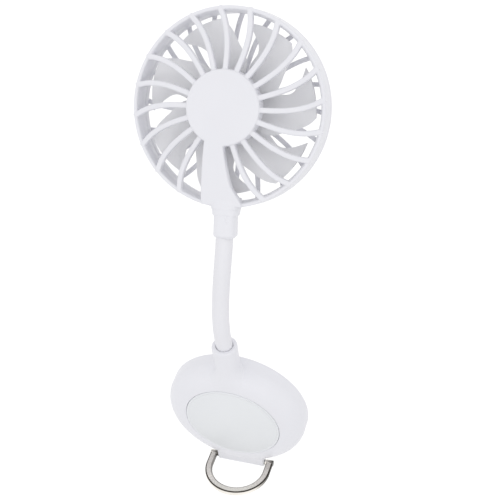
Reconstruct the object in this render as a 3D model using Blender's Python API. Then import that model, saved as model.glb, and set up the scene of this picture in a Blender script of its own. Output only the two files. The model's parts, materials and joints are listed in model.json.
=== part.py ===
"""Magnetic phone fan: a round magnetic base with a folding metal bail, a bendable
neck and a small caged fan.  Metres, +Z up.  The origin is the centre of the base's
magnetic face, which looks along +Y; the side that a person sees looks along -Y."""

import math

import bmesh
import bpy
from mathutils import Matrix, Vector

# Clearances and fineness shared by all pieces
fit_gap = 0.0003
cut_overrun = 0.0010
edge_break = 0.0004
smooth_angle = math.radians(32.0)
upright_share = 0.5
base_segments = 48
ring_segments = 36
cage_segments = 40
hub_segments = 28
rod_sides = 24
post_sides = 12
hole_sides = 16
pin_sides = 20
bore_sides = 32

# Round base: outer form
puck_side_depth = 0.0060
puck_shoulder_reach = 0.0100
puck_wall = 0.0020
rim_step = 0.0002
rim_chamfer = 0.0005
shoulder_steps = 6
shoulder_inner_steps = 4

# Grip pad on the magnetic face
pad_thickness = 0.0007

# Rear cover and what it carries
cover_floor = 0.0010
cover_rib_wall = 0.0012
magnet_outer_radius = 0.0270
magnet_width = 0.0039
magnet_side_gap = 0.0005
magnet_thickness = 0.0020
magnet_count = 12
magnet_groove_width = 0.0005
magnet_groove_depth = 0.0006
shunt_thickness = 0.0005

# Screws that hold the cover
screw_boss_rib_gap = 0.0006
screw_angle = math.radians(28.0)
screw_boss_radius = 0.0026
screw_head_radius = 0.0019
screw_head_height = 0.0010
screw_shank_radius = 0.0009
screw_tip_gap = 0.0006
screw_sides = 10

# Press plate in the outer face, and the deck under it
plate_face_inset = 0.0001
plate_thickness = 0.0020
plate_travel = 0.0005
plate_stop_gap = 0.0001
deck_thickness = 0.0012
plate_boss_radius = 0.0018
plate_boss_height = 0.0003

# Electronics in the base
board_side_gap = 0.0008
board_thickness = 0.0010
board_deck_gap = 0.0004
board_arm_margin = 0.0007
board_arm_gap = 0.0030
board_arc_steps = 30
chip_size = 0.0050
chip_height = 0.0009
chip_offset = 0.0065
switch_radius = 0.0027
switch_height = 0.0008
switch_plunger_radius = 0.0014
switch_plunger_height = 0.0002
battery_end_gap = 0.0066
battery_side_gap = 0.00185
battery_chip_gap = 0.0010
battery_corner_share = 0.26
battery_squareness = 9.0
battery_sides = 32
port_angle = math.radians(240.0)
port_width = 0.0090
port_height = 0.0031
port_wall = 0.0003
port_depth = 0.0073
port_setback = 0.0009
port_tongue_width = 0.0066
port_tongue_height = 0.0007
port_slot_gap = 0.0004
port_shunt_gap = 0.0003
port_end_steps = 6

# Neck socket on top of the base
socket_height = 0.0150
socket_wall = 0.00145
socket_face_gap = 0.00025
socket_lip_round = 0.0006
socket_flare = 0.0052
socket_flare_height = 0.0050
socket_root_depth = 0.0055
socket_floor_depth = 0.0014
socket_sides = 24
socket_squareness = 2.0
socket_flare_steps = 6
socket_flare_power = 3

# Bendable neck
sleeve_wall = 0.00085
sleeve_bore_gap = 0.00035
sleeve_sides = 12
core_wall = 0.00115
core_bore_gap = 0.00035
core_sides = 8
core_dome_steps = 2
core_dome_power = 1.5
lead_radius = 0.00070
lead_sides = 6
lead_shares = (1.0, 0.92, 0.84, 0.76, 0.66, 0.42, 0.18)
lead_drop_start_share = 0.98
lead_drop_end_share = 0.66
lead_neck_steps = 22
lead_smooth_steps = 2
neck_pitch = math.radians(36.0)
neck_roll = math.radians(3.3)
neck_reach = Vector((0.00045, 0.01570, 0.04580))
neck_lower_pull = Vector((-0.0014, -0.0003, 0.0175))
neck_upper_pull = 0.0105
hinge_shares = (0.10, 0.30, 0.50, 0.70, 0.90)
neck_straight_steps = 8
neck_bend_steps = 60
sleeve_step = 0.0038
ferrule_length = 0.0028

# Collar between neck and fan
collar_length = 0.0112
collar_wall = 0.0007
collar_chamfer = 0.0011
flange_height = 0.0022
flange_side_step = 0.00105
flange_face_step = 0.0005
flange_taper = 0.0004
collar_grip = 0.0077
core_end_gap = 0.0007
collar_squareness = 3.4
collar_sides = 28
collar_foot_share = 0.9
collar_recess_width = 0.0018
collar_recess_height = 0.0025
collar_recess_depth = 0.0003
collar_recess_shift = 0.0018
collar_recess_drop = 0.0035

# Fan cage
cage_radius = 0.0385
cage_depth = 0.0130
ring_draft = 0.0002
ring_face_width = 0.0015
ring_bead_width = 0.0010
ring_bead_depth = 0.0035
cage_wall = 0.0015
front_half_depth = 0.0044
front_edge_round = 0.0011
front_edge_depth = 0.0034
front_lip_width = 0.0006
front_lip_thickness = 0.0014
tongue_thickness = 0.0008
tongue_length = 0.0017
front_edge_steps = 4

# Swirl grilles
spoke_slots = 20
spoke_width = 0.0021
spoke_height = 0.0024
spoke_round = 0.0006
spoke_steps = 4
spoke_phase = math.radians(1.4)
spoke_sweep = math.radians(-8.5)
spoke_curve_power = 2.4
spoke_hub_level = 0.0058
spoke_rim_level = 0.0007
strut_slots = (10, 11)
front_spoke_phase = math.radians(-7.3)
front_spoke_sweep = math.radians(7.7)
front_spoke_width = 0.0015
front_spoke_height = 0.0014
front_spoke_steps = 3
front_hub_radius = 0.0132
front_hub_rise = 0.0012
front_hub_wall = 0.0014

# Rear hub and the strut that carries it
hub_radius = 0.0147
hub_draft = 0.0003
hub_edge_round = 0.0008
hub_rise = 0.0066
hub_wall = 0.0014
hub_skirt = -0.0012
hub_edge_steps = 3
strut_thickness = 0.0034
strut_round = 0.0009
strut_root_overlap = 0.0041
strut_sink = 0.00005
strut_end_power = 8
strut_steps = 7
strut_shares = (0, 0.15, 0.48, 0.70, 0.86, 0.93, 1.0)
strut_left_shares = (0.154, 0.182, 0.212, 0.214, 0.206, 0.201, 0.199)
strut_right_shares = (0.039, 0.023, 0.049, 0.085, 0.151, 0.177, 0.196)
strut_rise_shares = (1.0, 1.0, 0.71, 0.46, 0.27, 0.19, 0.12)
neck_axis_inset = 0.0035
foot_drop = 0.0003
foot_height = 0.0040
foot_hole_gap = 0.0011
foot_squareness = 4.0
foot_sides = 24
lead_channel_depth = 0.0012
lead_channel_start_share = 0.09
lead_channel_steps = 6

# Motor
motor_radius = 0.0100
motor_length = 0.0111
motor_edge = 0.0008
motor_sides = 28
shaft_radius = 0.0008
shaft_length = 0.0139
shaft_sides = 16
bush_wall = 0.0009
motor_screw_radius = 0.0011
motor_screw_pitch = 0.0060

# Rotor
rotor_motor_gap = 0.0005
rotor_hub_wall = 0.0012
rotor_back = 0.0028
rotor_front_gap = 0.0032
rotor_boss_radius = 0.0026
blade_count = 7
blade_tip_gap = 0.0044
blade_thickness = 0.0011
blade_edge_gap = 0.0004
blade_phase = math.radians(-3.8)
blade_root_span = math.radians(33.0)
blade_tip_span = math.radians(32.0)
blade_lean = math.radians(-19.0)
blade_camber = 0.0010
blade_lean_power = 1.6
blade_flatten_share = 0.35
blade_narrow_share = 0.40
blade_edge_share = 0.45
blade_radius_shares = (0, 0.3, 0.6, 0.93, 1.0)
blade_width_shares = (1.0, 1.0, 1.0, 0.97, 0.82)
blade_chord_shares = (0, 0.33, 0.67, 1.0)

# Metal bail and its hinge
bail_hinge_depth = 0.0095
bail_hinge_gap = 0.0006
bail_opening = math.radians(6.0)
bail_inner_radius = 0.0117
bail_bar_width = 0.0032
bail_bar_height = 0.0022
bail_bar_chamfer = 0.0006
bail_leg = 0.0072
bail_eye_wall = 0.0006
bail_boss_wall = 0.0004
bail_boss_reach = 0.0026
bail_arc_steps = 18
tab_barrel_wall = 0.0009
tab_root_inset = 0.0060
tab_barrel_steps = 10
hinge_pin_radius = 0.0008
hinge_pin_end = 0.0015


# Derived sizes of the base
puck_radius = magnet_outer_radius + magnet_side_gap + cover_rib_wall + fit_gap + puck_wall
cover_radius = puck_radius - puck_wall - fit_gap
pad_radius = cover_radius - fit_gap
face_radius = puck_radius - puck_shoulder_reach
plate_rest_gap = plate_travel + plate_stop_gap
plate_radius = face_radius - plate_face_inset
magnet_inner_radius = magnet_outer_radius - magnet_width
inner_rib_radius = magnet_inner_radius - fit_gap
screw_circle_radius = inner_rib_radius - cover_rib_wall - screw_boss_rib_gap - screw_boss_radius
deck_hole_radius = switch_radius + 2 * fit_gap
board_radius = screw_circle_radius - screw_boss_radius - board_side_gap
board_arm_width = port_width + 2 * board_arm_margin
board_arm_reach = puck_radius - puck_wall - board_arm_gap
battery_width = 2 * (inner_rib_radius - cover_rib_wall - battery_end_gap)
battery_height = 2 * (screw_circle_radius * math.cos(screw_angle) - screw_boss_radius - battery_side_gap)

# Derived places in the base, as depths below its magnetic face
cover_face = pad_thickness + fit_gap
cover_inside = cover_face + cover_floor
cover_rib_top = cover_inside + magnet_thickness + shunt_thickness + 2 * fit_gap
rim_face = cover_face - rim_step
port_underside = cover_rib_top + port_shunt_gap
port_level = port_underside + port_height / 2
board_bottom = port_underside + port_height + fit_gap
board_top = board_bottom + board_thickness
deck_underside = board_top + board_deck_gap
deck_top = deck_underside + deck_thickness
plate_underside = deck_top + plate_rest_gap
puck_depth = plate_underside + plate_thickness
magnet_face = cover_inside + fit_gap
shunt_face = magnet_face + magnet_thickness + fit_gap
screw_head_face = cover_face + fit_gap
screw_length = deck_underside - screw_head_face - screw_head_height - 3 * fit_gap
battery_face = cover_inside + fit_gap
battery_thickness = board_bottom - chip_height - battery_chip_gap - battery_face
battery_corner = battery_thickness * battery_corner_share

# Derived sizes and places of the neck and its collar
core_bore_radius = lead_radius + core_bore_gap
core_radius = core_bore_radius + core_wall
sleeve_bore_radius = core_radius + sleeve_bore_gap
sleeve_radius = sleeve_bore_radius + sleeve_wall
socket_bore_radius = sleeve_radius + fit_gap
socket_radius = socket_bore_radius + socket_wall
socket_top = puck_radius + socket_height
socket_flare_start = puck_radius + socket_flare_height
socket_root = puck_radius - socket_root_depth
socket_floor = puck_radius - socket_floor_depth
neck_depth_in_base = puck_depth - socket_radius - socket_face_gap
collar_half_width = sleeve_radius + fit_gap + collar_wall
flange_half_width = collar_half_width + flange_side_step
flange_half_depth = collar_half_width + flange_face_step
neck_foot = Vector((0, -neck_depth_in_base, socket_floor + fit_gap))
neck_mouth = Vector((0, -neck_depth_in_base, socket_top))
collar_mouth = neck_mouth + neck_reach

# Derived sizes and places of the bail
bail_hinge_drop = puck_radius + bail_hinge_gap
bail_hinge = Vector((0, -bail_hinge_depth, -bail_hinge_drop))
bail_mid_radius = bail_inner_radius + bail_bar_width / 2
pin_bore_radius = hinge_pin_radius + fit_gap
bail_eye_radius = pin_bore_radius + bail_eye_wall
bail_boss_radius = pin_bore_radius + bail_boss_wall
tab_half_width = bail_inner_radius - bail_boss_reach
tab_barrel_radius = pin_bore_radius + tab_barrel_wall

# Derived sizes of the fan, in its own axes
ring_radius = cage_radius - ring_draft
ring_lip_radius = ring_radius - ring_face_width
parting_depth = cage_depth - front_half_depth
front_edge_radius = cage_radius - front_edge_round
front_round_depth = cage_depth - front_edge_depth
front_lip_radius = front_edge_radius - front_lip_width
hub_flat_radius = hub_radius - hub_draft - hub_edge_round
strut_inner_radius = hub_flat_radius - strut_root_overlap
foot_top_radius = cage_radius - foot_height
foot_hole_radius = lead_radius + foot_hole_gap
rotor_hub_radius = motor_radius + rotor_motor_gap + rotor_hub_wall
rotor_front = cage_depth - rotor_front_gap
blade_back = rotor_back + blade_edge_gap
blade_front = rotor_front - blade_edge_gap
blade_tip_radius = ring_lip_radius - blade_tip_gap

# Derived places of the fan: its axes lean back and to one side on the neck
foot_bottom = cage_radius + foot_drop
collar_top = foot_bottom + fit_gap
collar_bottom = collar_top + collar_length
head_turn = Matrix.Rotation(-neck_pitch, 4, 'X') @ Matrix.Rotation(-neck_roll, 4, 'Y')
neck_up = (head_turn @ Vector((0, 0, 1))).normalized()
head_back = (head_turn @ Vector((0, 1, 0))).normalized()
fan_centre = collar_mouth + neck_up * collar_bottom - head_back * neck_axis_inset


# Mesh helpers
def start_clean():
    for old in list(bpy.data.objects):
        bpy.data.objects.remove(old, do_unlink=True)


def add_object(name, bm, material):
    """Turns a closed bmesh into an object whose faces point out."""
    bmesh.ops.recalc_face_normals(bm, faces=bm.faces[:])
    mesh = bpy.data.meshes.new(name)
    bm.to_mesh(mesh)
    bm.free()
    if material:
        mesh.materials.append(material)
    obj = bpy.data.objects.new(name, mesh)
    bpy.context.collection.objects.link(obj)
    mesh.shade_smooth()
    mesh.set_sharp_from_angle(angle=smooth_angle)
    return obj


def combine(target, tool, operation):
    """Applies one exact Boolean and removes the tool."""
    step = target.modifiers.new("step", 'BOOLEAN')
    step.operation = operation
    step.solver = 'EXACT'
    step.object = tool
    bpy.context.view_layer.update()
    graph = bpy.context.evaluated_depsgraph_get()
    result = bpy.data.meshes.new_from_object(target.evaluated_get(graph))
    target.modifiers.clear()
    old = target.data
    target.data = result
    bpy.data.meshes.remove(old)
    bpy.data.objects.remove(tool, do_unlink=True)
    target.data.shade_smooth()
    target.data.set_sharp_from_angle(angle=smooth_angle)


def join(target, *tools):
    for tool in tools:
        combine(target, tool, 'UNION')


def cut(target, *tools):
    for tool in tools:
        combine(target, tool, 'DIFFERENCE')


def loft(bm, sections, closed=False):
    """Skins rings of equal point count; open lofts get flat ends."""
    rings = [[bm.verts.new(point) for point in section] for section in sections]
    count = len(rings[0])
    pairs = list(zip(rings, rings[1:]))
    if closed:
        pairs.append((rings[-1], rings[0]))
    for low, high in pairs:
        for i in range(count):
            j = (i + 1) % count
            bm.faces.new((low[i], low[j], high[j], high[i]))
    if not closed:
        bm.faces.new(rings[0][::-1])
        bm.faces.new(rings[-1])
    return rings


def turned(profile, segments):
    """Revolves (radius, depth) points about the Y axis; depth runs along +Y."""
    bm = bmesh.new()
    rows = []
    capped = profile[0][0] == 0 and profile[0][1] == profile[1][1]
    if capped:
        profile = profile[1:]
    lidded = profile[-1][0] == 0 and profile[-1][1] == profile[-2][1]
    if lidded:
        profile = profile[:-1]
    for radius, depth in profile:
        if radius == 0:
            rows.append([bm.verts.new((0, depth, 0))])
            continue
        row = []
        for i in range(segments):
            turn = math.tau * i / segments
            row.append(bm.verts.new((radius * math.sin(turn), depth, radius * math.cos(turn))))
        rows.append(row)
    if capped:
        bm.faces.new(rows[0])
    if lidded:
        bm.faces.new(rows[-1])
    closing = [] if capped or lidded else rows[:1]
    for a, b in zip(rows, rows[1:] + closing):
        if len(a) == 1 and len(b) == 1:
            continue
        for i in range(segments):
            j = (i + 1) % segments
            ring = [a[i % len(a)], a[j % len(a)], b[j % len(b)], b[i % len(b)]]
            bm.faces.new(list(dict.fromkeys(ring)))
    return bm


def turned_object(name, profile, material, segments=base_segments):
    return add_object(name, turned(profile, segments), material)


def rod(name, start, end, radius, material=None, sides=rod_sides):
    """A plain round rod between two points."""
    start = Vector(start)
    end = Vector(end)
    return add_object(name, tube_bmesh([start, end], [radius, radius], sides), material)


def side_frame(tangent):
    side = Vector((1, 0, 0))
    side = side - tangent * side.dot(tangent)
    if side.length < upright_share:
        side = Vector((0, 1, 0)) - tangent * tangent.y
    side.normalize()
    return side, tangent.cross(side)


def path_tangents(points):
    tangents = []
    for i in range(len(points)):
        before = points[max(i - 1, 0)]
        after = points[min(i + 1, len(points) - 1)]
        tangents.append((after - before).normalized())
    return tangents


def round_section(centre, tangent, radius, sides):
    side, front = side_frame(tangent)
    ring = []
    for i in range(sides):
        turn = math.tau * i / sides
        ring.append(centre + side * (radius * math.cos(turn)) + front * (radius * math.sin(turn)))
    return ring


def tube_bmesh(points, radii, sides, bore=None):
    """A swept round tube with a radius at each point, hollow when bore radii are given."""
    bm = bmesh.new()
    tangents = path_tangents(points)
    outer = [round_section(p, t, r, sides) for p, t, r in zip(points, tangents, radii)]
    if bore is None:
        loft(bm, outer)
        return bm
    inner = [round_section(p, t, r, sides) for p, t, r in zip(points, tangents, bore)]
    loft(bm, outer + inner[::-1], closed=True)
    return bm


def superellipse(half_x, half_y, power, count):
    """Rounded-square outline as (x, y) pairs."""
    outline = []
    for i in range(count):
        turn = math.tau * (i + 0.5) / count
        c = math.cos(turn)
        s = math.sin(turn)
        x = half_x * math.copysign(abs(c) ** (2 / power), c)
        y = half_y * math.copysign(abs(s) ** (2 / power), s)
        outline.append((x, y))
    return outline


def slab(name, outline, low, high, material=None):
    """Extrudes (x, z) points along Y from low to high."""
    bm = bmesh.new()
    loft(bm, [[(x, y, z) for x, z in outline] for y in (low, high)])
    return add_object(name, bm, material)


def arc_points(centre, reach, rise, start, end, steps):
    """Points (radius, depth) on an elliptical quarter, both ends included."""
    points = []
    for i in range(steps + 1):
        turn = start + (end - start) * i / steps
        points.append((centre[0] + reach * math.cos(turn), centre[1] + rise * math.sin(turn)))
    return points


def attach(obj, parent):
    """Parents an object and leaves it where it stands."""
    bpy.context.view_layer.update()
    obj.parent = parent
    obj.matrix_parent_inverse = parent.matrix_world.inverted()
    return obj


def add_empty(name, place, turn=None):
    empty = bpy.data.objects.new(name, None)
    bpy.context.collection.objects.link(empty)
    empty.matrix_world = Matrix.Translation(place) @ (turn or Matrix())
    empty.empty_display_size = puck_wall
    return empty


# Materials
def principled(name, colour, roughness, metallic=0.0):
    material = bpy.data.materials.new(name)
    material.use_nodes = True
    shader = material.node_tree.nodes["Principled BSDF"]
    shader.inputs["Base Color"].default_value = (*colour, 1.0)
    shader.inputs["Roughness"].default_value = roughness
    shader.inputs["Metallic"].default_value = metallic
    return material


def make_materials():
    return {
        "white_plastic": principled("white_plastic", (0.82, 0.82, 0.85), 0.35),
        "sleeve_silicone": principled("sleeve_silicone", (0.80, 0.80, 0.84), 0.45),
        "pad_rubber": principled("pad_rubber", (0.70, 0.71, 0.74), 0.70),
        "polished_nickel": principled("polished_nickel", (0.78, 0.75, 0.70), 0.16, 1.0),
        "steel": principled("steel", (0.55, 0.55, 0.56), 0.30, 1.0),
        "magnet_plating": principled("magnet_plating", (0.50, 0.50, 0.52), 0.28, 1.0),
        "brass": principled("brass", (0.72, 0.56, 0.28), 0.30, 1.0),
        "board_green": principled("board_green", (0.03, 0.20, 0.09), 0.45),
        "cell_foil": principled("cell_foil", (0.42, 0.44, 0.46), 0.40),
        "black_plastic": principled("black_plastic", (0.03, 0.03, 0.03), 0.45),
        "lead_jacket": principled("lead_jacket", (0.75, 0.08, 0.06), 0.45),
    }


# Base
def shoulder_profile(wall, steps):
    """The shoulder's quarter ellipse, from the side wall to the flat face."""
    centre = (face_radius, puck_side_depth)
    reach = puck_shoulder_reach - wall
    rise = puck_depth - puck_side_depth - wall
    return arc_points(centre, reach, rise, 0, math.pi / 2, steps)


def shoulder_depth(radius):
    """Depth of the outer shoulder at a radius."""
    share = max(radius - face_radius, 0) / puck_shoulder_reach
    return puck_side_depth + (puck_depth - puck_side_depth) * math.sqrt(1 - share * share)


def flip(profile):
    """Depths below the magnetic face run along -Y."""
    return [(radius, -depth) for radius, depth in profile]


def make_grip_pad(mats):
    profile = [(0, 0), (pad_radius - edge_break, 0), (pad_radius, edge_break),
               (pad_radius, pad_thickness), (0, pad_thickness)]
    return turned_object("grip_pad", flip(profile), mats["pad_rubber"])


def screw_places():
    x = screw_circle_radius * math.sin(screw_angle)
    z = screw_circle_radius * math.cos(screw_angle)
    return [(x, z), (-x, z), (x, -z), (-x, -z)]


def post(x, z, radius, low, high, sides=post_sides):
    """A round tool along Y at (x, z), between two depths."""
    return rod("tool", (x, -low, z), (x, -high, z), radius, sides=sides)


def make_rear_cover(mats):
    outer_rib = cover_radius - cover_rib_wall
    profile = [(0, cover_face), (cover_radius, cover_face), (cover_radius, cover_rib_top),
               (outer_rib, cover_rib_top), (outer_rib, cover_inside),
               (inner_rib_radius, cover_inside), (inner_rib_radius, cover_rib_top),
               (inner_rib_radius - cover_rib_wall, cover_rib_top),
               (inner_rib_radius - cover_rib_wall, cover_inside), (0, cover_inside)]
    cover = turned_object("rear_cover", flip(profile), mats["white_plastic"], ring_segments)
    head_room = screw_head_face + screw_head_height + fit_gap
    for x, z in screw_places():
        join(cover, post(x, z, screw_boss_radius, cover_inside - cover_floor / 2, cover_rib_top))
    for x, z in screw_places():
        cut(cover, post(x, z, screw_head_radius + fit_gap, cover_face - cut_overrun, head_room),
            post(x, z, screw_shank_radius + fit_gap, cover_face, cover_rib_top + cut_overrun))
    return cover


def make_magnet_ring(mats):
    top = magnet_face + magnet_thickness
    profile = [(magnet_inner_radius, magnet_face), (magnet_outer_radius, magnet_face),
               (magnet_outer_radius, top), (magnet_inner_radius, top)]
    ring = turned_object("magnet_ring", flip(profile), mats["magnet_plating"], ring_segments)
    grooves = bmesh.new()
    for i in range(magnet_count):
        turn = Matrix.Rotation(math.tau * (i + 0.5) / magnet_count, 4, 'Y')
        half = magnet_groove_width / 2
        corners = [(-half, magnet_inner_radius - cut_overrun), (half, magnet_inner_radius - cut_overrun),
                   (half, magnet_outer_radius + cut_overrun), (-half, magnet_outer_radius + cut_overrun)]
        loft(grooves, [[turn @ Vector((x, -depth, z)) for x, z in corners]
                       for depth in (top - magnet_groove_depth, top + cut_overrun)])
    cut(ring, add_object("tool", grooves, None))
    return ring


def make_shunt_ring(mats):
    top = shunt_face + shunt_thickness
    profile = [(magnet_inner_radius, shunt_face), (magnet_outer_radius, shunt_face),
               (magnet_outer_radius, top), (magnet_inner_radius, top)]
    return turned_object("shunt_ring", flip(profile), mats["steel"], ring_segments)


def make_cover_screw(index, place, mats):
    x, z = place
    head_top = screw_head_face + screw_head_height
    profile = [(0, screw_head_face), (screw_head_radius, screw_head_face),
               (screw_head_radius, head_top), (screw_shank_radius, head_top),
               (screw_shank_radius, head_top + screw_length - screw_tip_gap),
               (screw_shank_radius / 2, head_top + screw_length), (0, head_top + screw_length)]
    screw = turned_object("cover_screw_%d" % index, flip(profile), mats["steel"], screw_sides)
    screw.location = (x, 0, z)
    return screw


def make_socket_boss():
    """The neck's socket: round at its mouth, spreading sideways into the shoulder."""
    levels = [(socket_top, socket_radius - socket_lip_round, socket_radius - socket_lip_round),
              (socket_top - socket_lip_round, socket_radius, socket_radius)]
    for i in range(socket_flare_steps + 1):
        share = i / socket_flare_steps
        level = socket_flare_start + (socket_root - socket_flare_start) * share
        spread = socket_flare * share ** socket_flare_power
        levels.append((level, socket_radius + spread, socket_radius))
    bm = bmesh.new()
    sections = []
    for level, half_x, half_y in levels:
        outline = superellipse(half_x, half_y, socket_squareness, socket_sides)
        sections.append([(x, y - neck_depth_in_base, level) for x, y in outline])
    loft(bm, sections)
    return add_object("tool", bm, None)


def make_hinge_tab():
    """A short tab under the shoulder, ending in the barrel that the pin runs through."""
    outline = []
    for i in range(tab_barrel_steps + 1):
        turn = math.pi * i / tab_barrel_steps
        outline.append((-bail_hinge_depth - tab_barrel_radius * math.cos(turn),
                        -bail_hinge_drop - tab_barrel_radius * math.sin(turn)))
    root = -bail_hinge_drop + tab_root_inset
    outline.append((-bail_hinge_depth + tab_barrel_radius, root))
    outline.append((-bail_hinge_depth - tab_barrel_radius, root))
    bm = bmesh.new()
    stations = [(-tab_half_width, edge_break), (-tab_half_width + edge_break, 0),
                (tab_half_width - edge_break, 0), (tab_half_width, edge_break)]
    centre = Vector((-bail_hinge_depth, -bail_hinge_drop))
    sections = []
    for x, inset in stations:
        ring = []
        for y, z in outline:
            away = Vector((y, z)) - centre
            shrink = 1 - inset / tab_barrel_radius
            ring.append((x, centre.x + away.x * shrink, centre.y + away.y * shrink))
        sections.append(ring)
    loft(bm, sections)
    return add_object("tool", bm, None)


def stadium(width, height, steps=port_end_steps):
    """Flat-sided oval outline, width across and height tall, as (across, tall)."""
    radius = height / 2
    straight = width / 2 - radius
    outline = []
    for sign, start in ((1, -math.pi / 2), (-1, math.pi / 2)):
        for i in range(steps + 1):
            turn = start + math.pi * i / steps
            outline.append((sign * straight + radius * math.cos(turn), radius * math.sin(turn)))
    return outline


def port_prism(outline, near, far, level):
    """Extrudes (across, tall) points radially, at the port's place in the side wall."""
    out = Vector((math.sin(port_angle), 0, math.cos(port_angle)))
    across = Vector((math.cos(port_angle), 0, -math.sin(port_angle)))
    tall = Vector((0, -1, 0))
    bm = bmesh.new()
    loft(bm, [[out * reach + across * a + tall * (level + b) for a, b in outline]
              for reach in (near, far)])
    return bm


def make_front_housing(mats):
    """The domed base shell with the neck socket above and the bail's tab below."""
    outer = [(0, rim_face), (puck_radius - rim_chamfer, rim_face),
             (puck_radius, rim_face + rim_chamfer)]
    outer += shoulder_profile(0, shoulder_steps)[:-1]
    recess_radius = plate_radius + fit_gap
    outer += [(recess_radius, shoulder_depth(recess_radius)), (recess_radius, deck_top), (0, deck_top)]
    shell = turned_object("front_housing", flip(outer), mats["white_plastic"])
    join(shell, make_socket_boss(), make_hinge_tab())

    inside = [(radius, depth) for radius, depth in shoulder_profile(puck_wall, shoulder_inner_steps)
              if depth < deck_underside]
    rim_inner = puck_radius - puck_wall
    room = [(0, rim_face - cut_overrun), (rim_inner, rim_face - cut_overrun)]
    room += inside
    room += [(inside[-1][0], deck_underside), (0, deck_underside)]
    hollow = turned_object("hollow", flip(room), None)
    boss_foot = cover_rib_top + fit_gap
    for x, z in screw_places():
        cut(hollow, post(x, z, screw_boss_radius, boss_foot, deck_underside + cut_overrun))
    cut(shell, hollow)
    cut(shell, post(0, 0, deck_hole_radius, deck_underside - cut_overrun, deck_top + cut_overrun))

    bore_end = screw_head_face + screw_head_height + screw_length + fit_gap
    for x, z in screw_places():
        cut(shell, post(x, z, screw_shank_radius + fit_gap, boss_foot - cut_overrun, bore_end))

    y = -neck_depth_in_base
    cut(shell, rod("tool", (0, y, socket_floor), (0, y, socket_top + cut_overrun),
                   socket_bore_radius, sides=bore_sides),
        rod("tool", (0, y, board_arm_reach), (0, y, socket_floor + cut_overrun),
            2 * lead_radius, sides=hole_sides))
    slot = stadium(port_width + 2 * port_slot_gap, port_height + 2 * port_slot_gap)
    slot_bm = port_prism(slot, puck_radius - 2 * puck_wall, puck_radius + cut_overrun, port_level)
    cut(shell, add_object("tool", slot_bm, None))
    reach = tab_half_width + cut_overrun
    cut(shell, rod("tool", bail_hinge - Vector((reach, 0, 0)), bail_hinge + Vector((reach, 0, 0)),
                   pin_bore_radius, sides=pin_sides))
    return shell


def make_press_plate(mats):
    """The round face plate that is pressed in as a whole."""
    profile = [(0, puck_depth), (plate_radius - edge_break, puck_depth),
               (plate_radius, puck_depth - edge_break), (plate_radius, plate_underside),
               (plate_boss_radius, plate_underside),
               (plate_boss_radius, plate_underside - plate_boss_height),
               (0, plate_underside - plate_boss_height)]
    return turned_object("press_plate", flip(profile), mats["white_plastic"])


def make_tact_switch(mats):
    base = board_top + fit_gap
    top = base + switch_height
    profile = [(0, base), (switch_radius, base), (switch_radius, top), (switch_plunger_radius, top),
               (switch_plunger_radius, top + switch_plunger_height), (0, top + switch_plunger_height)]
    return turned_object("tact_switch", flip(profile), mats["black_plastic"], rod_sides)


def make_circuit_board(mats):
    """A round board with an arm to the charging port and two chips below."""
    half = board_arm_width / 2
    start = math.asin(half / board_radius)
    outline = [(half, board_arm_reach), (-half, board_arm_reach)]
    for i in range(board_arc_steps + 1):
        turn = -start - (math.tau - 2 * start) * i / board_arc_steps
        outline.append((board_radius * math.sin(turn), board_radius * math.cos(turn)))
    board = slab("circuit_board", outline, 0, -board_thickness, mats["board_green"])
    board.data.transform(Matrix.Rotation(port_angle, 4, 'Y') @ Matrix.Translation((0, -board_bottom, 0)))
    for side in (-1, 1):
        edge = chip_size / 2
        mid = side * chip_offset
        corners = [(mid - edge, -edge), (mid + edge, -edge), (mid + edge, edge), (mid - edge, edge)]
        chip = slab("tool", corners, -board_bottom + chip_height, -board_bottom - board_thickness / 2)
        join(board, chip)
    return board


def make_charge_port(mats):
    mouth = puck_radius - port_setback
    near = mouth - port_depth
    shell = add_object("charge_port", port_prism(stadium(port_width, port_height), near, mouth, port_level),
                       mats["steel"])
    pocket = stadium(port_width - 2 * port_wall, port_height - 2 * port_wall)
    pocket_bm = port_prism(pocket, near + 2 * port_wall, mouth + cut_overrun, port_level)
    cut(shell, add_object("tool", pocket_bm, None))
    tongue = stadium(port_tongue_width, port_tongue_height)
    tongue_bm = port_prism(tongue, near + port_wall, mouth - port_setback, port_level)
    join(shell, add_object("tool", tongue_bm, None))
    return shell


def make_battery(mats):
    """A soft cell with round corners and its folded seal along the top."""
    low = battery_face
    outline = superellipse(battery_width / 2, battery_height / 2, battery_squareness, battery_sides)
    bm = bmesh.new()
    inset = 1 - battery_corner / battery_height
    levels = [(low, inset), (low + battery_corner, 1), (low + battery_thickness - battery_corner, 1),
              (low + battery_thickness, inset)]
    loft(bm, [[(x * share, -depth, z * share) for x, z in outline] for depth, share in levels])
    return add_object("battery_cell", bm, mats["cell_foil"])


# Neck
def neck_path_points():
    """The neck's centre line: out of the socket, one smooth bend, into the collar."""
    inner_end = collar_mouth + neck_up * collar_length
    p0 = neck_mouth
    p1 = neck_mouth + neck_lower_pull
    p2 = collar_mouth - neck_up * neck_upper_pull
    p3 = collar_mouth
    points = []
    for i in range(neck_straight_steps):
        points.append(neck_foot.lerp(neck_mouth, i / neck_straight_steps))
    for i in range(neck_bend_steps):
        t = i / neck_bend_steps
        u = 1 - t
        points.append(p0 * u ** 3 + p1 * (3 * u * u * t) + p2 * (3 * u * t * t) + p3 * t ** 3)
    for i in range(neck_straight_steps + 1):
        points.append(collar_mouth.lerp(inner_end, i / neck_straight_steps))
    return points


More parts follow.
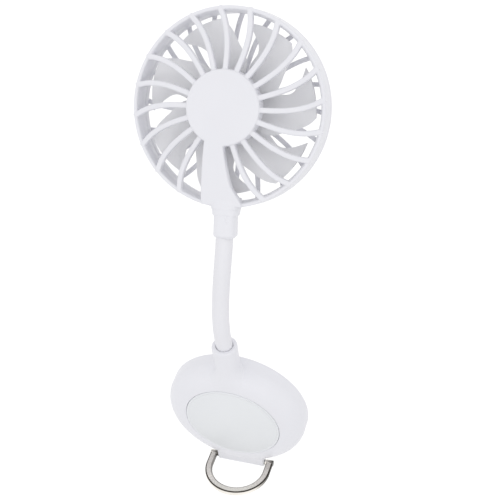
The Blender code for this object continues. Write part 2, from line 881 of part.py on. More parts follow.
class NeckLine:
    """The centre line read by its length from the socket floor."""

    def __init__(self):
        self.points = neck_path_points()
        self.lengths = [0]
        for a, b in zip(self.points, self.points[1:]):
            self.lengths.append(self.lengths[-1] + (b - a).length)
        self.total = self.lengths[-1]
        self.mouth = (neck_mouth - neck_foot).length
        self.collar = self.total - (self.points[-1] - collar_mouth).length

    def at(self, distance):
        distance = min(max(distance, 0), self.total)
        for i in range(len(self.points) - 1):
            if distance <= self.lengths[i + 1]:
                break
        span = self.lengths[i + 1] - self.lengths[i]
        share = (distance - self.lengths[i]) / span
        return self.points[i].lerp(self.points[i + 1], share)

    def direction(self, distance):
        step = edge_break
        return (self.at(distance + step) - self.at(distance - step)).normalized()

    def hinge(self, share):
        return self.mouth + (self.collar - self.mouth) * share


def swept(line, stations, radii, sides, bore=None):
    """A tube along the neck with a radius at each distance."""
    bm = bmesh.new()
    outer = []
    inner = []
    for i, distance in enumerate(stations):
        centre = line.at(distance)
        tangent = line.direction(distance)
        outer.append(round_section(centre, tangent, radii[i], sides))
        if bore:
            inner.append(round_section(centre, tangent, bore, sides))
    if bore:
        loft(bm, outer + inner[::-1], closed=True)
    else:
        loft(bm, outer)
    return bm


def make_neck_sleeve(line, mats):
    start = ferrule_length + 2 * fit_gap
    end = line.collar + collar_grip
    count = max(int((end - start) / sleeve_step), 2)
    stations = [start + (end - start) * i / count for i in range(count + 1)]
    radii = [sleeve_radius] * len(stations)
    bm = swept(line, stations, radii, sleeve_sides, sleeve_bore_radius)
    return add_object("neck_sleeve", bm, mats["sleeve_silicone"])


def core_piece(line, index, start, end, dome_start, dome_end, mats):
    """One length of the neck's core, with a dome where it meets a bend."""
    rim = core_bore_radius + fit_gap
    cut_back = core_radius - math.sqrt(core_radius ** 2 - rim ** 2)
    low = []
    for i in range(core_dome_steps + 1):
        depth = cut_back + (core_radius - cut_back) * (i / core_dome_steps) ** core_dome_power
        radius = math.sqrt(core_radius ** 2 - (core_radius - depth) ** 2)
        low.append((depth, radius))
    stations = []
    radii = []
    if dome_start:
        for depth, radius in low:
            stations.append(start + depth)
            radii.append(radius)
    else:
        stations.append(start)
        radii.append(core_radius)
    far = end - core_radius if dome_end else end
    stations.append((stations[-1] + far) / 2)
    radii.append(core_radius)
    if dome_end:
        for depth, radius in reversed(low):
            stations.append(end - depth)
            radii.append(radius)
    else:
        stations.append(end)
        radii.append(core_radius)
    bm = swept(line, stations, radii, core_sides, core_bore_radius)
    return add_object("neck_core_%d" % index, bm, mats["steel"])


def make_neck_core(line, mats):
    hinges = [line.hinge(share) for share in hinge_shares]
    ends = [0] + hinges + [line.total - core_end_gap]
    pieces = []
    last = len(ends) - 2
    for i in range(len(ends) - 1):
        start = ends[i] + (fit_gap / 2 if i else fit_gap)
        end = ends[i + 1] - (fit_gap / 2 if i < last else fit_gap)
        pieces.append(core_piece(line, i + 1, start, end, i > 0, i < last, mats))
    return pieces


def make_ferrule(name, line, start, mats):
    """A crimped ring round the end of the core."""
    stations = [start, start + ferrule_length]
    radii = [sleeve_radius, sleeve_radius]
    bm = swept(line, stations, radii, sleeve_sides, core_radius + fit_gap)
    return add_object(name, bm, mats["brass"])


def head_point(x, y, z):
    """A place in the fan's own axes, in world metres."""
    return fan_centre + (head_turn @ Vector((x, y, z)))


def lead_route_in_head():
    """From the collar through the cage's foot, then up the strut to the motor."""
    route = [head_point(0, neck_axis_inset, -collar_top)]
    for share in lead_shares:
        level = strut_level(share) + strut_thickness - lead_channel_depth
        t = min(max((share - lead_drop_end_share) / (lead_drop_start_share - lead_drop_end_share), 0), 1)
        blend = t * t * (3 - 2 * t)
        level += (neck_axis_inset - level) * blend
        route.append(head_point(strut_middle(share), level, strut_z(share)))
    end = hub_wall - hub_rise + lead_radius + 2 * fit_gap
    route.append(head_point(strut_middle(0), end, -(motor_radius + 2 * fit_gap + lead_radius)))
    return route


# Fan cage, with its grilles and collar
def strut_z(share):
    """Height of a strut station: 0 under the hub's face, 1 at the ring."""
    return -(strut_inner_radius + (ring_radius - strut_inner_radius) * share)


def read_table(share, shares, values):
    for i in range(len(shares) - 1):
        if share <= shares[i + 1]:
            break
    local = (share - shares[i]) / (shares[i + 1] - shares[i])
    return values[i] + (values[i + 1] - values[i]) * local


def strut_edges(share):
    left = -ring_radius * read_table(share, strut_shares, strut_left_shares)
    right = ring_radius * read_table(share, strut_shares, strut_right_shares)
    return left, right


def strut_middle(share):
    left, right = strut_edges(share)
    return (left + right) / 2


def strut_level(share):
    """Depth of the strut's outer surface: flush with the hub, then falling to the ring."""
    return strut_sink - hub_rise * read_table(share, strut_shares, strut_rise_shares)


def make_strut():
    sections = []
    for i in range(strut_steps + 1):
        share = i / strut_steps
        left, right = strut_edges(share)
        top = strut_level(share)
        low = top + strut_thickness
        z = strut_z(share)
        ring = [(left, low), (left, top + strut_round), (left + strut_round / 3, top + strut_round / 3),
                (left + strut_round, top), (right - strut_round, top),
                (right - strut_round / 3, top + strut_round / 3), (right, top + strut_round), (right, low)]
        hug = share ** strut_end_power
        sections.append([(x, y, z + hug * (ring_radius - math.sqrt(ring_radius ** 2 - x * x)))
                         for x, y in ring])
    bm = bmesh.new()
    loft(bm, sections)
    return add_object("tool", bm, None)


def spoke_curve(share, sweep):
    """Swirl: nearly straight off the hub, then bending over towards the rim."""
    return sweep * share ** spoke_curve_power


def spoke_sections(angle, width, height, inner, outer, level_hub, level_rim, sweep, sign, steps):
    """A rounded bar from hub to rim; sign -1 faces the viewer, +1 the far side."""
    sections = []
    for i in range(steps + 1):
        share = i / steps
        radius = inner + (outer - inner) * share
        turn = angle + spoke_curve(share, sweep)
        level = level_hub + (level_rim - level_hub) * share
        if i == steps:
            level -= spoke_round
        top = sign * level
        low = top - sign * height
        radial = Vector((math.sin(turn), 0, math.cos(turn)))
        slope = sweep * spoke_curve_power * share ** (spoke_curve_power - 1)
        ahead = turn + slope * radius / (outer - inner)
        across = Vector((math.cos(ahead), 0, -math.sin(ahead)))
        half = width / 2
        soft = spoke_round
        depth = Vector((0, 1, 0))
        corners = [(-half, low), (-half, top - sign * soft), (-half + soft, top),
                   (half - soft, top), (half, top - sign * soft), (half, low)]
        if sign > 0:
            corners = [(-half, low), (-half + soft / 2, top), (half - soft / 2, top), (half, low)]
        ring = [radial * radius + across * a + depth * d for a, d in corners]
        sections.append(ring)
    return sections


def rear_spokes():
    bm = bmesh.new()
    for slot in range(spoke_slots):
        if slot in strut_slots:
            continue
        angle = spoke_phase + math.tau * slot / spoke_slots
        loft(bm, spoke_sections(angle, spoke_width, spoke_height, hub_radius - hub_wall / 2,
                                ring_radius - edge_break / 2, spoke_hub_level, spoke_rim_level,
                                spoke_sweep, -1, spoke_steps))
    return add_object("tool", bm, None)


def make_foot():
    """The block under the ring that the collar's flange seats on."""
    bm = bmesh.new()
    outline = superellipse(flange_half_width, flange_half_depth, foot_squareness, foot_sides)
    sections = []
    for z in (-foot_top_radius, -foot_bottom):
        sections.append([(x, y + neck_axis_inset, z) for x, y in outline])
    loft(bm, sections)
    return add_object("tool", bm, None)


def rear_hub():
    centre = (hub_flat_radius, -hub_rise + hub_edge_round)
    edge = arc_points(centre, hub_edge_round, -hub_edge_round, math.pi / 2, 0, hub_edge_steps)
    inner = hub_radius - hub_wall
    profile = [(0, -hub_rise)] + edge
    profile += [(hub_radius, hub_skirt), (inner, hub_skirt), (inner, -hub_rise + hub_wall),
                (0, -hub_rise + hub_wall)]
    return turned_object("tool", profile, None, hub_segments)


def make_rear_grille(parent, mats):
    """The cage half that a person sees: ring, eighteen swirl spokes, hub, strut, foot."""
    wall_inner = ring_radius - cage_wall
    profile = [(ring_lip_radius, 0), (ring_radius - edge_break, 0), (ring_radius, edge_break),
               (cage_radius, parting_depth), (cage_radius - cage_wall, parting_depth),
               (wall_inner, ring_bead_depth + ring_bead_width),
               (ring_lip_radius - ring_bead_width, ring_bead_depth)]
    grille = turned_object("rear_grille", profile, mats["white_plastic"], cage_segments)
    join(grille, rear_spokes(), make_foot(), rear_hub(), make_strut())

    inside = hub_radius - hub_wall
    room = [(0, -hub_rise + hub_wall), (inside, -hub_rise + hub_wall),
            (inside, hub_skirt + cut_overrun), (0, hub_skirt + cut_overrun)]
    cut(grille, turned_object("tool", room, None, hub_segments))
    cut(grille, rod("tool", (0, neck_axis_inset, -foot_bottom - cut_overrun),
                    (0, neck_axis_inset, -foot_top_radius + cut_overrun), foot_hole_radius,
                    sides=hole_sides))
    cut(grille, lead_channel())
    for x in (-motor_screw_pitch, motor_screw_pitch):
        cut(grille, rod("tool", (x, -hub_rise + hub_wall / 2, 0), (x, 0, 0),
                        motor_screw_radius, sides=post_sides))
    place_in_head(grille, parent)
    return grille


def lead_channel():
    """A groove in the strut's hidden side for the motor's lead."""
    bm = bmesh.new()
    half = 2 * lead_radius
    sections = []
    for i in range(lead_channel_steps + 1):
        share = lead_channel_start_share + (1 - lead_channel_start_share) * i / lead_channel_steps
        middle = strut_middle(share)
        low = strut_level(share) + strut_thickness
        z = strut_z(share)
        floor = low - lead_channel_depth - lead_radius - fit_gap
        brim = max(low, hub_skirt) + 3 * cut_overrun
        sections.append([(middle - half, floor, z), (middle + half, floor, z),
                         (middle + half, brim, z), (middle - half, brim, z)])
    loft(bm, sections)
    return add_object("tool", bm, None)


def place_in_head(obj, parent):
    obj.matrix_world = Matrix.Translation(fan_centre) @ head_turn
    attach(obj, parent)


def make_front_grille(parent, mats):
    """The far cage half, with its own swirl of thinner bars and a tongue into the rear half."""
    seam = parting_depth + fit_gap
    inner = cage_radius - cage_wall
    tongue_outer = inner - fit_gap
    profile = [(cage_radius, seam), (cage_radius, front_round_depth)]
    profile += arc_points((front_edge_radius, front_round_depth), cage_radius - front_edge_radius,
                          cage_depth - front_round_depth, 0, math.pi / 2, front_edge_steps)[1:]
    profile += [(front_lip_radius, cage_depth), (front_lip_radius, cage_depth - front_lip_thickness),
                (tongue_outer - tongue_thickness, cage_depth - 2 * front_lip_thickness),
                (tongue_outer - tongue_thickness, seam - tongue_length),
                (tongue_outer, seam - tongue_length), (tongue_outer, seam)]
    grille = turned_object("front_grille", profile, mats["white_plastic"], cage_segments)
    bars = bmesh.new()
    for slot in range(spoke_slots):
        angle = front_spoke_phase + math.tau * slot / spoke_slots
        loft(bars, spoke_sections(angle, front_spoke_width, front_spoke_height,
                                  front_hub_radius - front_hub_wall / 2,
                                  front_edge_radius - front_lip_thickness / 2,
                                  cage_depth + front_hub_rise / 2, cage_depth, front_spoke_sweep, 1,
                                  front_spoke_steps))
    join(grille, add_object("tool", bars, None))
    face = cage_depth + front_hub_rise
    hub = [(0, face)] + arc_points((front_hub_radius - front_hub_rise, cage_depth), front_hub_rise,
                                   front_hub_rise, math.pi / 2, 0, hub_edge_steps)
    hub += [(front_hub_radius, face - front_hub_rise - front_hub_wall),
            (0, face - front_hub_rise - front_hub_wall)]
    join(grille, turned_object("tool", hub, None, hub_segments))
    gap = flange_half_width + fit_gap
    corners = [(-gap, -cage_radius), (gap, -cage_radius), (gap, -foot_top_radius + cut_overrun),
               (-gap, -foot_top_radius + cut_overrun)]
    notch = slab("tool", corners, seam - tongue_length - cut_overrun, seam - fit_gap / 3)
    cut(grille, notch)
    place_in_head(grille, parent)
    return grille


def make_neck_collar(parent, mats):
    """The squarish collar that grips the neck, with the flange that meets the cage."""
    bottom = collar_bottom
    neck_in = sleeve_radius + fit_gap
    flange_low = collar_top + flange_height
    low_width = flange_half_width - flange_taper
    low_depth = flange_half_depth - flange_taper
    foot_width = collar_half_width - collar_chamfer * collar_foot_share
    levels = [(collar_top, flange_half_width, flange_half_depth),
              (flange_low - edge_break, low_width, low_depth),
              (flange_low, low_width - edge_break / 2, low_depth - edge_break / 2),
              (flange_low + edge_break / 2, collar_half_width, collar_half_width),
              (bottom - collar_chamfer, collar_half_width, collar_half_width),
              (bottom, foot_width, foot_width)]
    bm = bmesh.new()
    sections = []
    for level, half_x, half_y in levels:
        outline = superellipse(half_x, half_y, collar_squareness, collar_sides)
        sections.append([(x, y + neck_axis_inset, -level) for x, y in outline])
    loft(bm, sections)
    collar = add_object("neck_collar", bm, mats["white_plastic"])
    cut(collar, rod("tool", (0, neck_axis_inset, -bottom - cut_overrun),
                    (0, neck_axis_inset, -collar_top + cut_overrun), neck_in, sides=bore_sides))
    cut(collar, collar_recess())
    place_in_head(collar, parent)
    return collar


def collar_recess():
    """The shallow pocket in the collar's face."""
    left = collar_recess_shift - collar_recess_width / 2
    right = left + collar_recess_width
    top = -collar_top - collar_recess_drop + collar_recess_height / 2
    low = top - collar_recess_height
    face = neck_axis_inset - collar_half_width
    bm = bmesh.new()
    loft(bm, [[(left, y, low), (right, y, low), (right, y, top), (left, y, top)]
              for y in (face - cut_overrun, face + collar_recess_depth)])
    return add_object("tool", bm, None)


# Motor and rotor
def motor_seat():
    return -hub_rise + hub_wall + fit_gap


def make_motor(parent, mats):
    back = motor_seat()
    front = back + motor_length
    bore = shaft_radius + fit_gap + bush_wall + fit_gap
    profile = [(bore, back), (motor_radius - motor_edge, back), (motor_radius, back + motor_edge),
               (motor_radius, front - motor_edge), (motor_radius - motor_edge, front), (bore, front)]
    can = turned_object("motor_can", profile, mats["steel"], motor_sides)
    place_in_head(can, parent)
    inner = shaft_radius + fit_gap
    profile = [(inner, back + fit_gap), (inner + bush_wall, back + fit_gap),
               (inner + bush_wall, front - fit_gap), (inner, front - fit_gap)]
    bush = turned_object("motor_bush", profile, mats["brass"], pin_sides)
    place_in_head(bush, parent)
    return can, bush


def make_motor_screw(index, side, parent, mats):
    """A short screw from the hub into the motor's back."""
    low = -hub_rise + hub_wall / 2 + fit_gap
    x = side * motor_screw_pitch
    radius = motor_screw_radius - fit_gap
    screw = rod("motor_screw_%d" % index, (x, low, 0), (x, motor_seat() - fit_gap, 0), radius,
                mats["steel"], sides=post_sides)
    place_in_head(screw, parent)
    return screw


def make_shaft(parent, mats):
    start = motor_seat() + 2 * fit_gap
    end = start + shaft_length
    tip = edge_break / 2
    profile = [(0, start), (shaft_radius, start), (shaft_radius, end - tip),
               (shaft_radius - tip, end), (0, end)]
    shaft = turned_object("motor_shaft", profile, mats["steel"], shaft_sides)
    place_in_head(shaft, parent)
    return shaft


def blade_sections(start):
    """A twisted, cambered blade: steep at the hub, flatter and wider at the tip."""
    sections = []
    root = rotor_hub_radius - rotor_hub_wall / 2
    for reach, width in zip(blade_radius_shares, blade_width_shares):
        radius = root + (blade_tip_radius - root) * reach
        span = (blade_root_span + (blade_tip_span - blade_root_span) * reach) * width
        lean = blade_lean * reach ** blade_lean_power
        mid = (blade_back + blade_front) / 2
        half_depth = (blade_front - blade_back) / 2 * (1 - blade_flatten_share * reach)
        half_depth *= 1 - blade_narrow_share * (1 - width)
        ring = []
        for side in (-1, 1):
            for c in blade_chord_shares if side < 0 else reversed(blade_chord_shares):
                turn = start + lean + span * (c - 1 / 2)
                bow = blade_camber * (1 - (2 * c - 1) ** 2)
                depth = mid - half_depth * (2 * c - 1) - bow
                taper = 1 - (1 - blade_edge_share) * abs(2 * c - 1)
                depth += side * blade_thickness / 2 * taper
                ring.append(Vector((radius * math.sin(turn), depth, radius * math.cos(turn))))
        sections.append(ring)
    return sections


def make_rotor(parent, mats):
    """Hub cup and seven blades, carried on the shaft by the boss inside the cup."""
    inner = rotor_hub_radius - rotor_hub_wall
    roof = rotor_front - rotor_hub_wall
    boss_low = motor_seat() + motor_length + fit_gap + edge_break
    bore = shaft_radius + fit_gap
    profile = [(rotor_hub_radius, rotor_back)]
    profile += arc_points((rotor_hub_radius - 2 * edge_break, rotor_front - 2 * edge_break),
                          2 * edge_break, 2 * edge_break, 0, math.pi / 2, hub_edge_steps)
    profile += [(bore, rotor_front), (bore, boss_low), (rotor_boss_radius, boss_low),
                (rotor_boss_radius, roof), (inner, roof), (inner, rotor_back)]
    rotor = turned_object("fan_rotor", profile, mats["white_plastic"], hub_segments)
    blades = bmesh.new()
    for i in range(blade_count):
        loft(blades, blade_sections(blade_phase + math.tau * i / blade_count))
    join(rotor, add_object("tool", blades, None))
    place_in_head(rotor, parent)
    return rotor


# Bail, pin and lead
def bar_section(place, across, up):
    half_w = bail_bar_width / 2
    half_h = bail_bar_height / 2
    c = bail_bar_chamfer
    ring = []
    for a, h in ((-half_w, -half_h + c), (-half_w + c, -half_h), (half_w - c, -half_h),
                 (half_w, -half_h + c), (half_w, half_h - c), (half_w - c, half_h),
                 (-half_w + c, half_h), (-half_w, half_h - c)):
        ring.append(place + across * a + up * h)
    return ring


def make_bail(mats):
    """A flat metal bar bent to a U, with a round eye and an inward boss on each end."""
    up = Vector((0, 0, 1))
    places = [(Vector((-bail_mid_radius, 0, 0)), Vector((-1, 0, 0)))]
    for i in range(bail_arc_steps + 1):
        turn = math.pi * i / bail_arc_steps
        out = Vector((-math.cos(turn), -math.sin(turn), 0))
        places.append((Vector((0, -bail_leg, 0)) + out * bail_mid_radius, out))
    places.append((Vector((bail_mid_radius, 0, 0)), Vector((1, 0, 0))))
    bm = bmesh.new()
    loft(bm, [bar_section(place, across, up) for place, across in places])
    bail = add_object("bail_ring", bm, mats["polished_nickel"])
    outer = bail_inner_radius + bail_bar_width
    inner = tab_half_width + fit_gap
    for side in (-1, 1):
        join(bail, rod("tool", (side * bail_inner_radius, 0, 0), (side * outer, 0, 0),
                       bail_eye_radius, sides=pin_sides))
        join(bail, rod("tool", (side * inner, 0, 0), (side * bail_mid_radius, 0, 0),
                       bail_boss_radius, sides=pin_sides))
        cut(bail, rod("tool", (side * (inner - cut_overrun), 0, 0),
                      (side * (outer - hinge_pin_end + fit_gap), 0, 0), pin_bore_radius,
                      sides=pin_sides))
    bail.location = bail_hinge
    bail.rotation_euler = (-bail_opening, 0, 0)
    return bail


def make_hinge_pin(mats):
    reach = bail_inner_radius + bail_bar_width - hinge_pin_end
    pin = rod("hinge_pin", (-reach, 0, 0), (reach, 0, 0), hinge_pin_radius, mats["steel"],
              sides=pin_sides)
    pin.location = bail_hinge
    return pin


def make_power_lead(line, mats):
    """The motor's lead, from the board up the neck's core and the strut."""
    points = [Vector((0, -neck_depth_in_base, board_radius + fit_gap)),
              Vector((0, -neck_depth_in_base, (board_radius + socket_floor) / 2))]
    for i in range(lead_neck_steps + 1):
        points.append(line.at(line.total * i / lead_neck_steps))
    points += smooth_route(lead_route_in_head(), lead_smooth_steps)
    bm = tube_bmesh(points, [lead_radius] * len(points), lead_sides)
    return add_object("power_lead", bm, mats["lead_jacket"])


def smooth_route(points, steps):
    """A smooth curve through the route's points (Catmull-Rom)."""
    result = []
    for i in range(len(points) - 1):
        a = points[max(i - 1, 0)]
        b = points[i]
        c = points[i + 1]
        d = points[min(i + 2, len(points) - 1)]
        for k in range(steps):
            t = k / steps
            result.append((b * 2 + (c - a) * t + (a * 2 - b * 5 + c * 4 - d) * t * t
                           + (b * 3 - a - c * 3 + d) * t ** 3) / 2)
    result.append(points[-1])
    return result


def build():
    start_clean()
    mats = make_materials()
    make_grip_pad(mats)
    make_rear_cover(mats)
    make_magnet_ring(mats)
    make_shunt_ring(mats)
    for index, place in enumerate(screw_places(), start=1):
        make_cover_screw(index, place, mats)
    make_front_housing(mats)
    make_press_plate(mats)
    make_tact_switch(mats)
    make_circuit_board(mats)
    make_charge_port(mats)
    make_battery(mats)

    line = NeckLine()
    hinges = []
    for index, share in enumerate(hinge_shares, start=1):
        empty = add_empty("neck_hinge_%d" % index, line.at(line.hinge(share)))
        if hinges:
            attach(empty, hinges[-1])
        hinges.append(empty)
    make_neck_sleeve(line, mats)
    core = make_neck_core(line, mats)
    for piece, hinge in zip(core[1:], hinges):
        attach(piece, hinge)
    make_ferrule("lower_ferrule", line, fit_gap, mats)
    upper = make_ferrule("upper_ferrule", line, line.collar + collar_grip + fit_gap, mats)
    attach(upper, hinges[-1])
    make_power_lead(line, mats)

    head = add_empty("head_frame", fan_centre, head_turn)
    attach(head, hinges[-1])
    make_neck_collar(head, mats)
    make_rear_grille(head, mats)
    make_front_grille(head, mats)
    make_motor(head, mats)
    for index, side in enumerate((-1, 1), start=1):
        make_motor_screw(index, side, head, mats)
    make_shaft(head, mats)
    make_rotor(head, mats)

    make_bail(mats)
    make_hinge_pin(mats)


build()
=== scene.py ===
"""Looks for the magnetic phone fan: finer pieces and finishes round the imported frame.
Metres, in the frame's own axes: +Y into the magnetic face, the viewer at -Y, +Z up the neck."""
import json
import math

import bmesh
import bpy
from mathutils import Matrix, Vector


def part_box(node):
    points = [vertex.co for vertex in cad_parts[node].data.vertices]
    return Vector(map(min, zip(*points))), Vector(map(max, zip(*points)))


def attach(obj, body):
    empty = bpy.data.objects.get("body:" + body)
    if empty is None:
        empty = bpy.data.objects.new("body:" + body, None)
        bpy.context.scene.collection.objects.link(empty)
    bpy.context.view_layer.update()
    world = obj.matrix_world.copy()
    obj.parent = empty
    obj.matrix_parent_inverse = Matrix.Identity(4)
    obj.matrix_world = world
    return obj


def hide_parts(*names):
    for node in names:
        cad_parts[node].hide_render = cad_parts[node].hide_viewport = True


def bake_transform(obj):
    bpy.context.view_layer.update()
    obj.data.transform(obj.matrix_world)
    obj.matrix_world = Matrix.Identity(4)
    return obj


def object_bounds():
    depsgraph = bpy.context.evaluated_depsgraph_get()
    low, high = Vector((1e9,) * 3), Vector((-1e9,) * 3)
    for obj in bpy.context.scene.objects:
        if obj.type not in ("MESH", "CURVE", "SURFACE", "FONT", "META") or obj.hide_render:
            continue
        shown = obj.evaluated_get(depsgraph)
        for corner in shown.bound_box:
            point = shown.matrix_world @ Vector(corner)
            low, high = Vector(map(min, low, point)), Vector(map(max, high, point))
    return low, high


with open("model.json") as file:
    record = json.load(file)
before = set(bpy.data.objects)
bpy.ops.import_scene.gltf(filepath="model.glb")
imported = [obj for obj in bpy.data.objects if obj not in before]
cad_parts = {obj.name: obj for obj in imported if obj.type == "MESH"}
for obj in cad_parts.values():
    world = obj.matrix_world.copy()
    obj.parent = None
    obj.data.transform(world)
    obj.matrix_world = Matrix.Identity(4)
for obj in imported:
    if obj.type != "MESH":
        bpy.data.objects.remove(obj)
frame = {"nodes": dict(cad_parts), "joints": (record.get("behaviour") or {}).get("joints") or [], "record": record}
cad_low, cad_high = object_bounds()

joints = {joint["name"]: joint for joint in frame["joints"]}

# Fineness and clearances
gap = 0.0003
overrun = 0.0010
round_segments = 160
small_segments = 48
fillet_steps = 5
fillet_share = 0.49
edge_steps = 10
housing_voxel = 0.00028
grille_voxel = 0.00020
collar_voxel = 0.00014
relax_rounds = 3
collar_relax_rounds = 4
bail_sharp = math.radians(40.0)
sleeve_sharp = math.radians(50.0)
rotor_sharp = math.radians(35.0)

# Round base, read from the frame where a piece of it has the size
puck_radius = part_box("rear_cover")[1].x + gap + 0.0020
puck_depth = -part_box("press_plate")[0].y
rim_depth = -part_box("front_housing")[1].y
pad_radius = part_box("grip_pad")[1].x
pad_thickness = -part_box("grip_pad")[0].y
pad_edge = 0.0003
plate_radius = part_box("press_plate")[1].x
plate_gap = 0.00009
plate_underside = puck_depth - 0.0018
plate_edge = 0.0004
plate_low_edge = 0.0007
plate_groove_inset = 0.0011
plate_groove_half = 0.00016
plate_groove_depth = 0.00011
plate_boss_radius = 0.0018
plate_boss_height = 0.0003
side_depth = 0.0060
shoulder_reach = 0.0100
shoulder_steps = 24
wall = 0.0020
deck_top = 0.0114
deck_thickness = 0.0012
deck_hole_radius = 0.0033
dome_lip_drop = gap / 6
rim_round = 0.0005
lip_round = 0.0003

# Neck socket on the base
neck_depth = 0.0086
socket_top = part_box("front_housing")[1].z
socket_floor = 0.0296
socket_shift = -0.0002
socket_radius = 0.0054
socket_bore = 0.0036
socket_round = 0.0008
socket_flare = 0.0129
socket_flare_start = 0.0360
socket_root = 0.0218
socket_steps = 20
socket_flare_power = 3
way_radius = 0.0014
way_start = 0.0260

# Tab and bail
hinge = Vector(joints["bail_fold"]["pos_m"])
tab_half_width = 0.0109
tab_radius = 0.0020
tab_root = 0.0060
tab_steps = 16
tab_edge = 0.0004
pin_bore = 0.0011
bail_opening = math.radians(6.0)
bail_inner = 0.0117
bail_width = 0.0032
bail_height = 0.0026
bail_end_height = 0.0021
bail_round = 0.0008
bail_leg = 0.0064
bail_steps = 96
bail_eye = 0.00135
bail_boss = 0.00125
pin_end = 0.0015
seam_turn = math.radians(38.0)
seam_width = 0.00016
seam_depth_share = 0.91

# Where painted dark reflections darken the bail's plating: shares across its roundings, and round its walls
tone_start = 0.15
tone_end = 0.95
inner_edge_tone = 0.6
right_wall_start = 0.75
right_wall_gain = 4
left_wall_start = 0.45
left_wall_gain = 3
left_wall_most = 0.9
# Colour of the painted dark reflections on the bail's nickel
painted_reflection_colour = (0.045, 0.040, 0.034, 1.0)

# Charging socket's slot in the side wall
port_turn = math.radians(240.0)
port_width = 0.0090
port_height = 0.0031
port_slot_gap = 0.0004
port_level = 0.00695
port_steps = 12

# Neck
neck_mouth = Vector((socket_shift, -neck_depth, socket_top))
neck_foot = Vector((socket_shift, -neck_depth, socket_floor + gap))
collar_mouth = Vector((0.00010, 0.00710, 0.09180))
lower_pull = Vector((-0.0014, -0.0003, 0.0175))
upper_pull = 0.0105
neck_pitch = math.radians(36.0)
neck_roll = math.radians(3.3)
hinge_shares = (0.10, 0.30, 0.50, 0.70, 0.90)
neck_end_steps = 8
neck_bend_steps = 120
sleeve_radius = 0.00345
sleeve_bore = 0.00255
sleeve_start = 0.0034
sleeve_step = 0.0006
sleeve_sides = 56
collar_grip = 0.0077
lead_radius = 0.0007
lead_sides = 12
lead_step = 0.0012
lead_low_end = 0.0153
lead_strut_shares = (1.0, 0.92, 0.84, 0.76, 0.66, 0.42, 0.18)
lead_rise_start = 0.66
lead_rise_span = 0.32
lead_smooth_steps = 6

# Collar
collar_length = 0.0112
collar_half = 0.0044
collar_chamfer = 0.0011
flange_height = 0.0022
flange_half_width = 0.00545
flange_half_depth = 0.0049
flange_taper = 0.0004
flange_edge = 0.0004
flange_overlap = 0.0007
collar_squareness = 3.4
collar_sides = 96
recess_centre_x = 0.00184
recess_centre_drop = 0.04258
recess_half_width = 0.00090
recess_half_height = 0.00125
recess_depth = 0.00032

# Fan cage, in the fan's own axes
cage_radius = 0.0385
skin_radius = 0.0384
cage_depth = 0.0130
ring_radius = 0.0382
ring_lip_radius = 0.0368
bead_radius = 0.0358
bead_depth = 0.0035
tongue_front = 0.0069
cage_wall = 0.0015
parting = 0.0086
front_edge_radius = 0.0373
front_round_depth = 0.0096
front_lip_radius = 0.0368
front_lip_thickness = 0.0014
tongue_thickness = 0.0008
tongue_length = 0.0017
edge_round = 0.0006
slots = 20
strut_slots = (10, 11)
spoke_width = 0.0021
spoke_height = 0.0024
spoke_round = 0.0007
spoke_phase = math.radians(1.4)
spoke_sweep = math.radians(-8.5)
spoke_power = 2.4
spoke_hub_level = 0.0058
spoke_rim_level = 0.0007
spoke_dip = 0.0006
spoke_dip_share = 0.75
spoke_steps = 16
bar_width = 0.0018
bar_height = 0.0014
bar_round = 0.0004
bar_phase = math.radians(-5.1)
bar_sweep = math.radians(7.6)
bar_power = 1.9
far_hub_radius = 0.0132
far_hub_rise = 0.0012
far_hub_wall = 0.0014
hub_radius = 0.0147
hub_flat = 0.0136
hub_rise = 0.0066
hub_round = 0.0008
hub_wall = 0.0014
hub_skirt = -0.0012
strut_thickness = 0.0034
strut_round = 0.0009
strut_inner = 0.0095
strut_sink = 0.00005
strut_steps = 40
strut_end_power = 8
strut_shares = (0, 0.15, 0.48, 0.70, 0.86, 0.93, 1.0)
strut_left_shares = (0.154, 0.182, 0.212, 0.230, 0.240, 0.242, 0.242)
strut_right_shares = (0.039, 0.023, 0.049, 0.085, 0.151, 0.177, 0.196)
strut_rise_shares = (1.0, 1.0, 0.71, 0.46, 0.27, 0.19, 0.12)
axis_inset = 0.0035
foot_drop = 0.0003
foot_top = 0.0345
foot_hole = 0.0018
channel_depth = 0.0012
motor_radius = 0.0100

# Rotor
rotor_hub_radius = 0.0117
rotor_hub_wall = 0.0012
rotor_back = 0.0028
rotor_front = 0.0098
rotor_boss_radius = 0.0026
rotor_boss_low = 0.0068
rotor_bore = 0.0011
rotor_edge = 0.0009
blades = 7
blade_tip_low = 0.0326
blade_tip_high = 0.0339
blade_thickness = 0.0011
blade_back = 0.0037
blade_front = 0.0087
blade_phase = math.radians(-3.4)
blade_root_span = math.radians(48.0)
blade_tip_span = math.radians(31.0)
blade_lean = math.radians(-22.2)
blade_camber = 0.0006
blade_lean_power = 2.06
blade_flatten_share = 0.40
blade_edge_share = 0.45
blade_width_shares = (1.0, 1.18, 0.90, 1.09, 1.10)
blade_radius_shares = (0, 0.3, 0.6, 0.93, 1.0)
blade_rows = 18
blade_columns = 12

# Camera, found from the phone's edges in the photograph
camera_place = Vector((0.117191, -0.270251, 0.369052))
camera_right = Vector((0.95621155, 0.27878081, -0.08911078))
camera_up = Vector((-0.13152283, 0.6812951, 0.72009634))
camera_back = Vector((0.26145977, -0.67684433, 0.68812828))
camera_lens = 75.604
camera_sensor = 36.0
camera_near = 0.01
camera_far = 50.0

# Stage
floor_drop = 0.22
floor_reach = 6.0
floor_colour = (0.80, 0.80, 0.80, 1.0)
floor_roughness = 0.9
floor_glow = 0.30

# Light: an even pale world, a weak broad key from the front and a trace of fill from the right
world_level = 0.97
key_strength = 0.36
key_spread = math.radians(60.0)
key_from = Vector((0.0, -1.0, 0.12))
fill_strength = 0.10
fill_spread = math.radians(60.0)
fill_from = Vector((0.95, -0.40, 0.25))

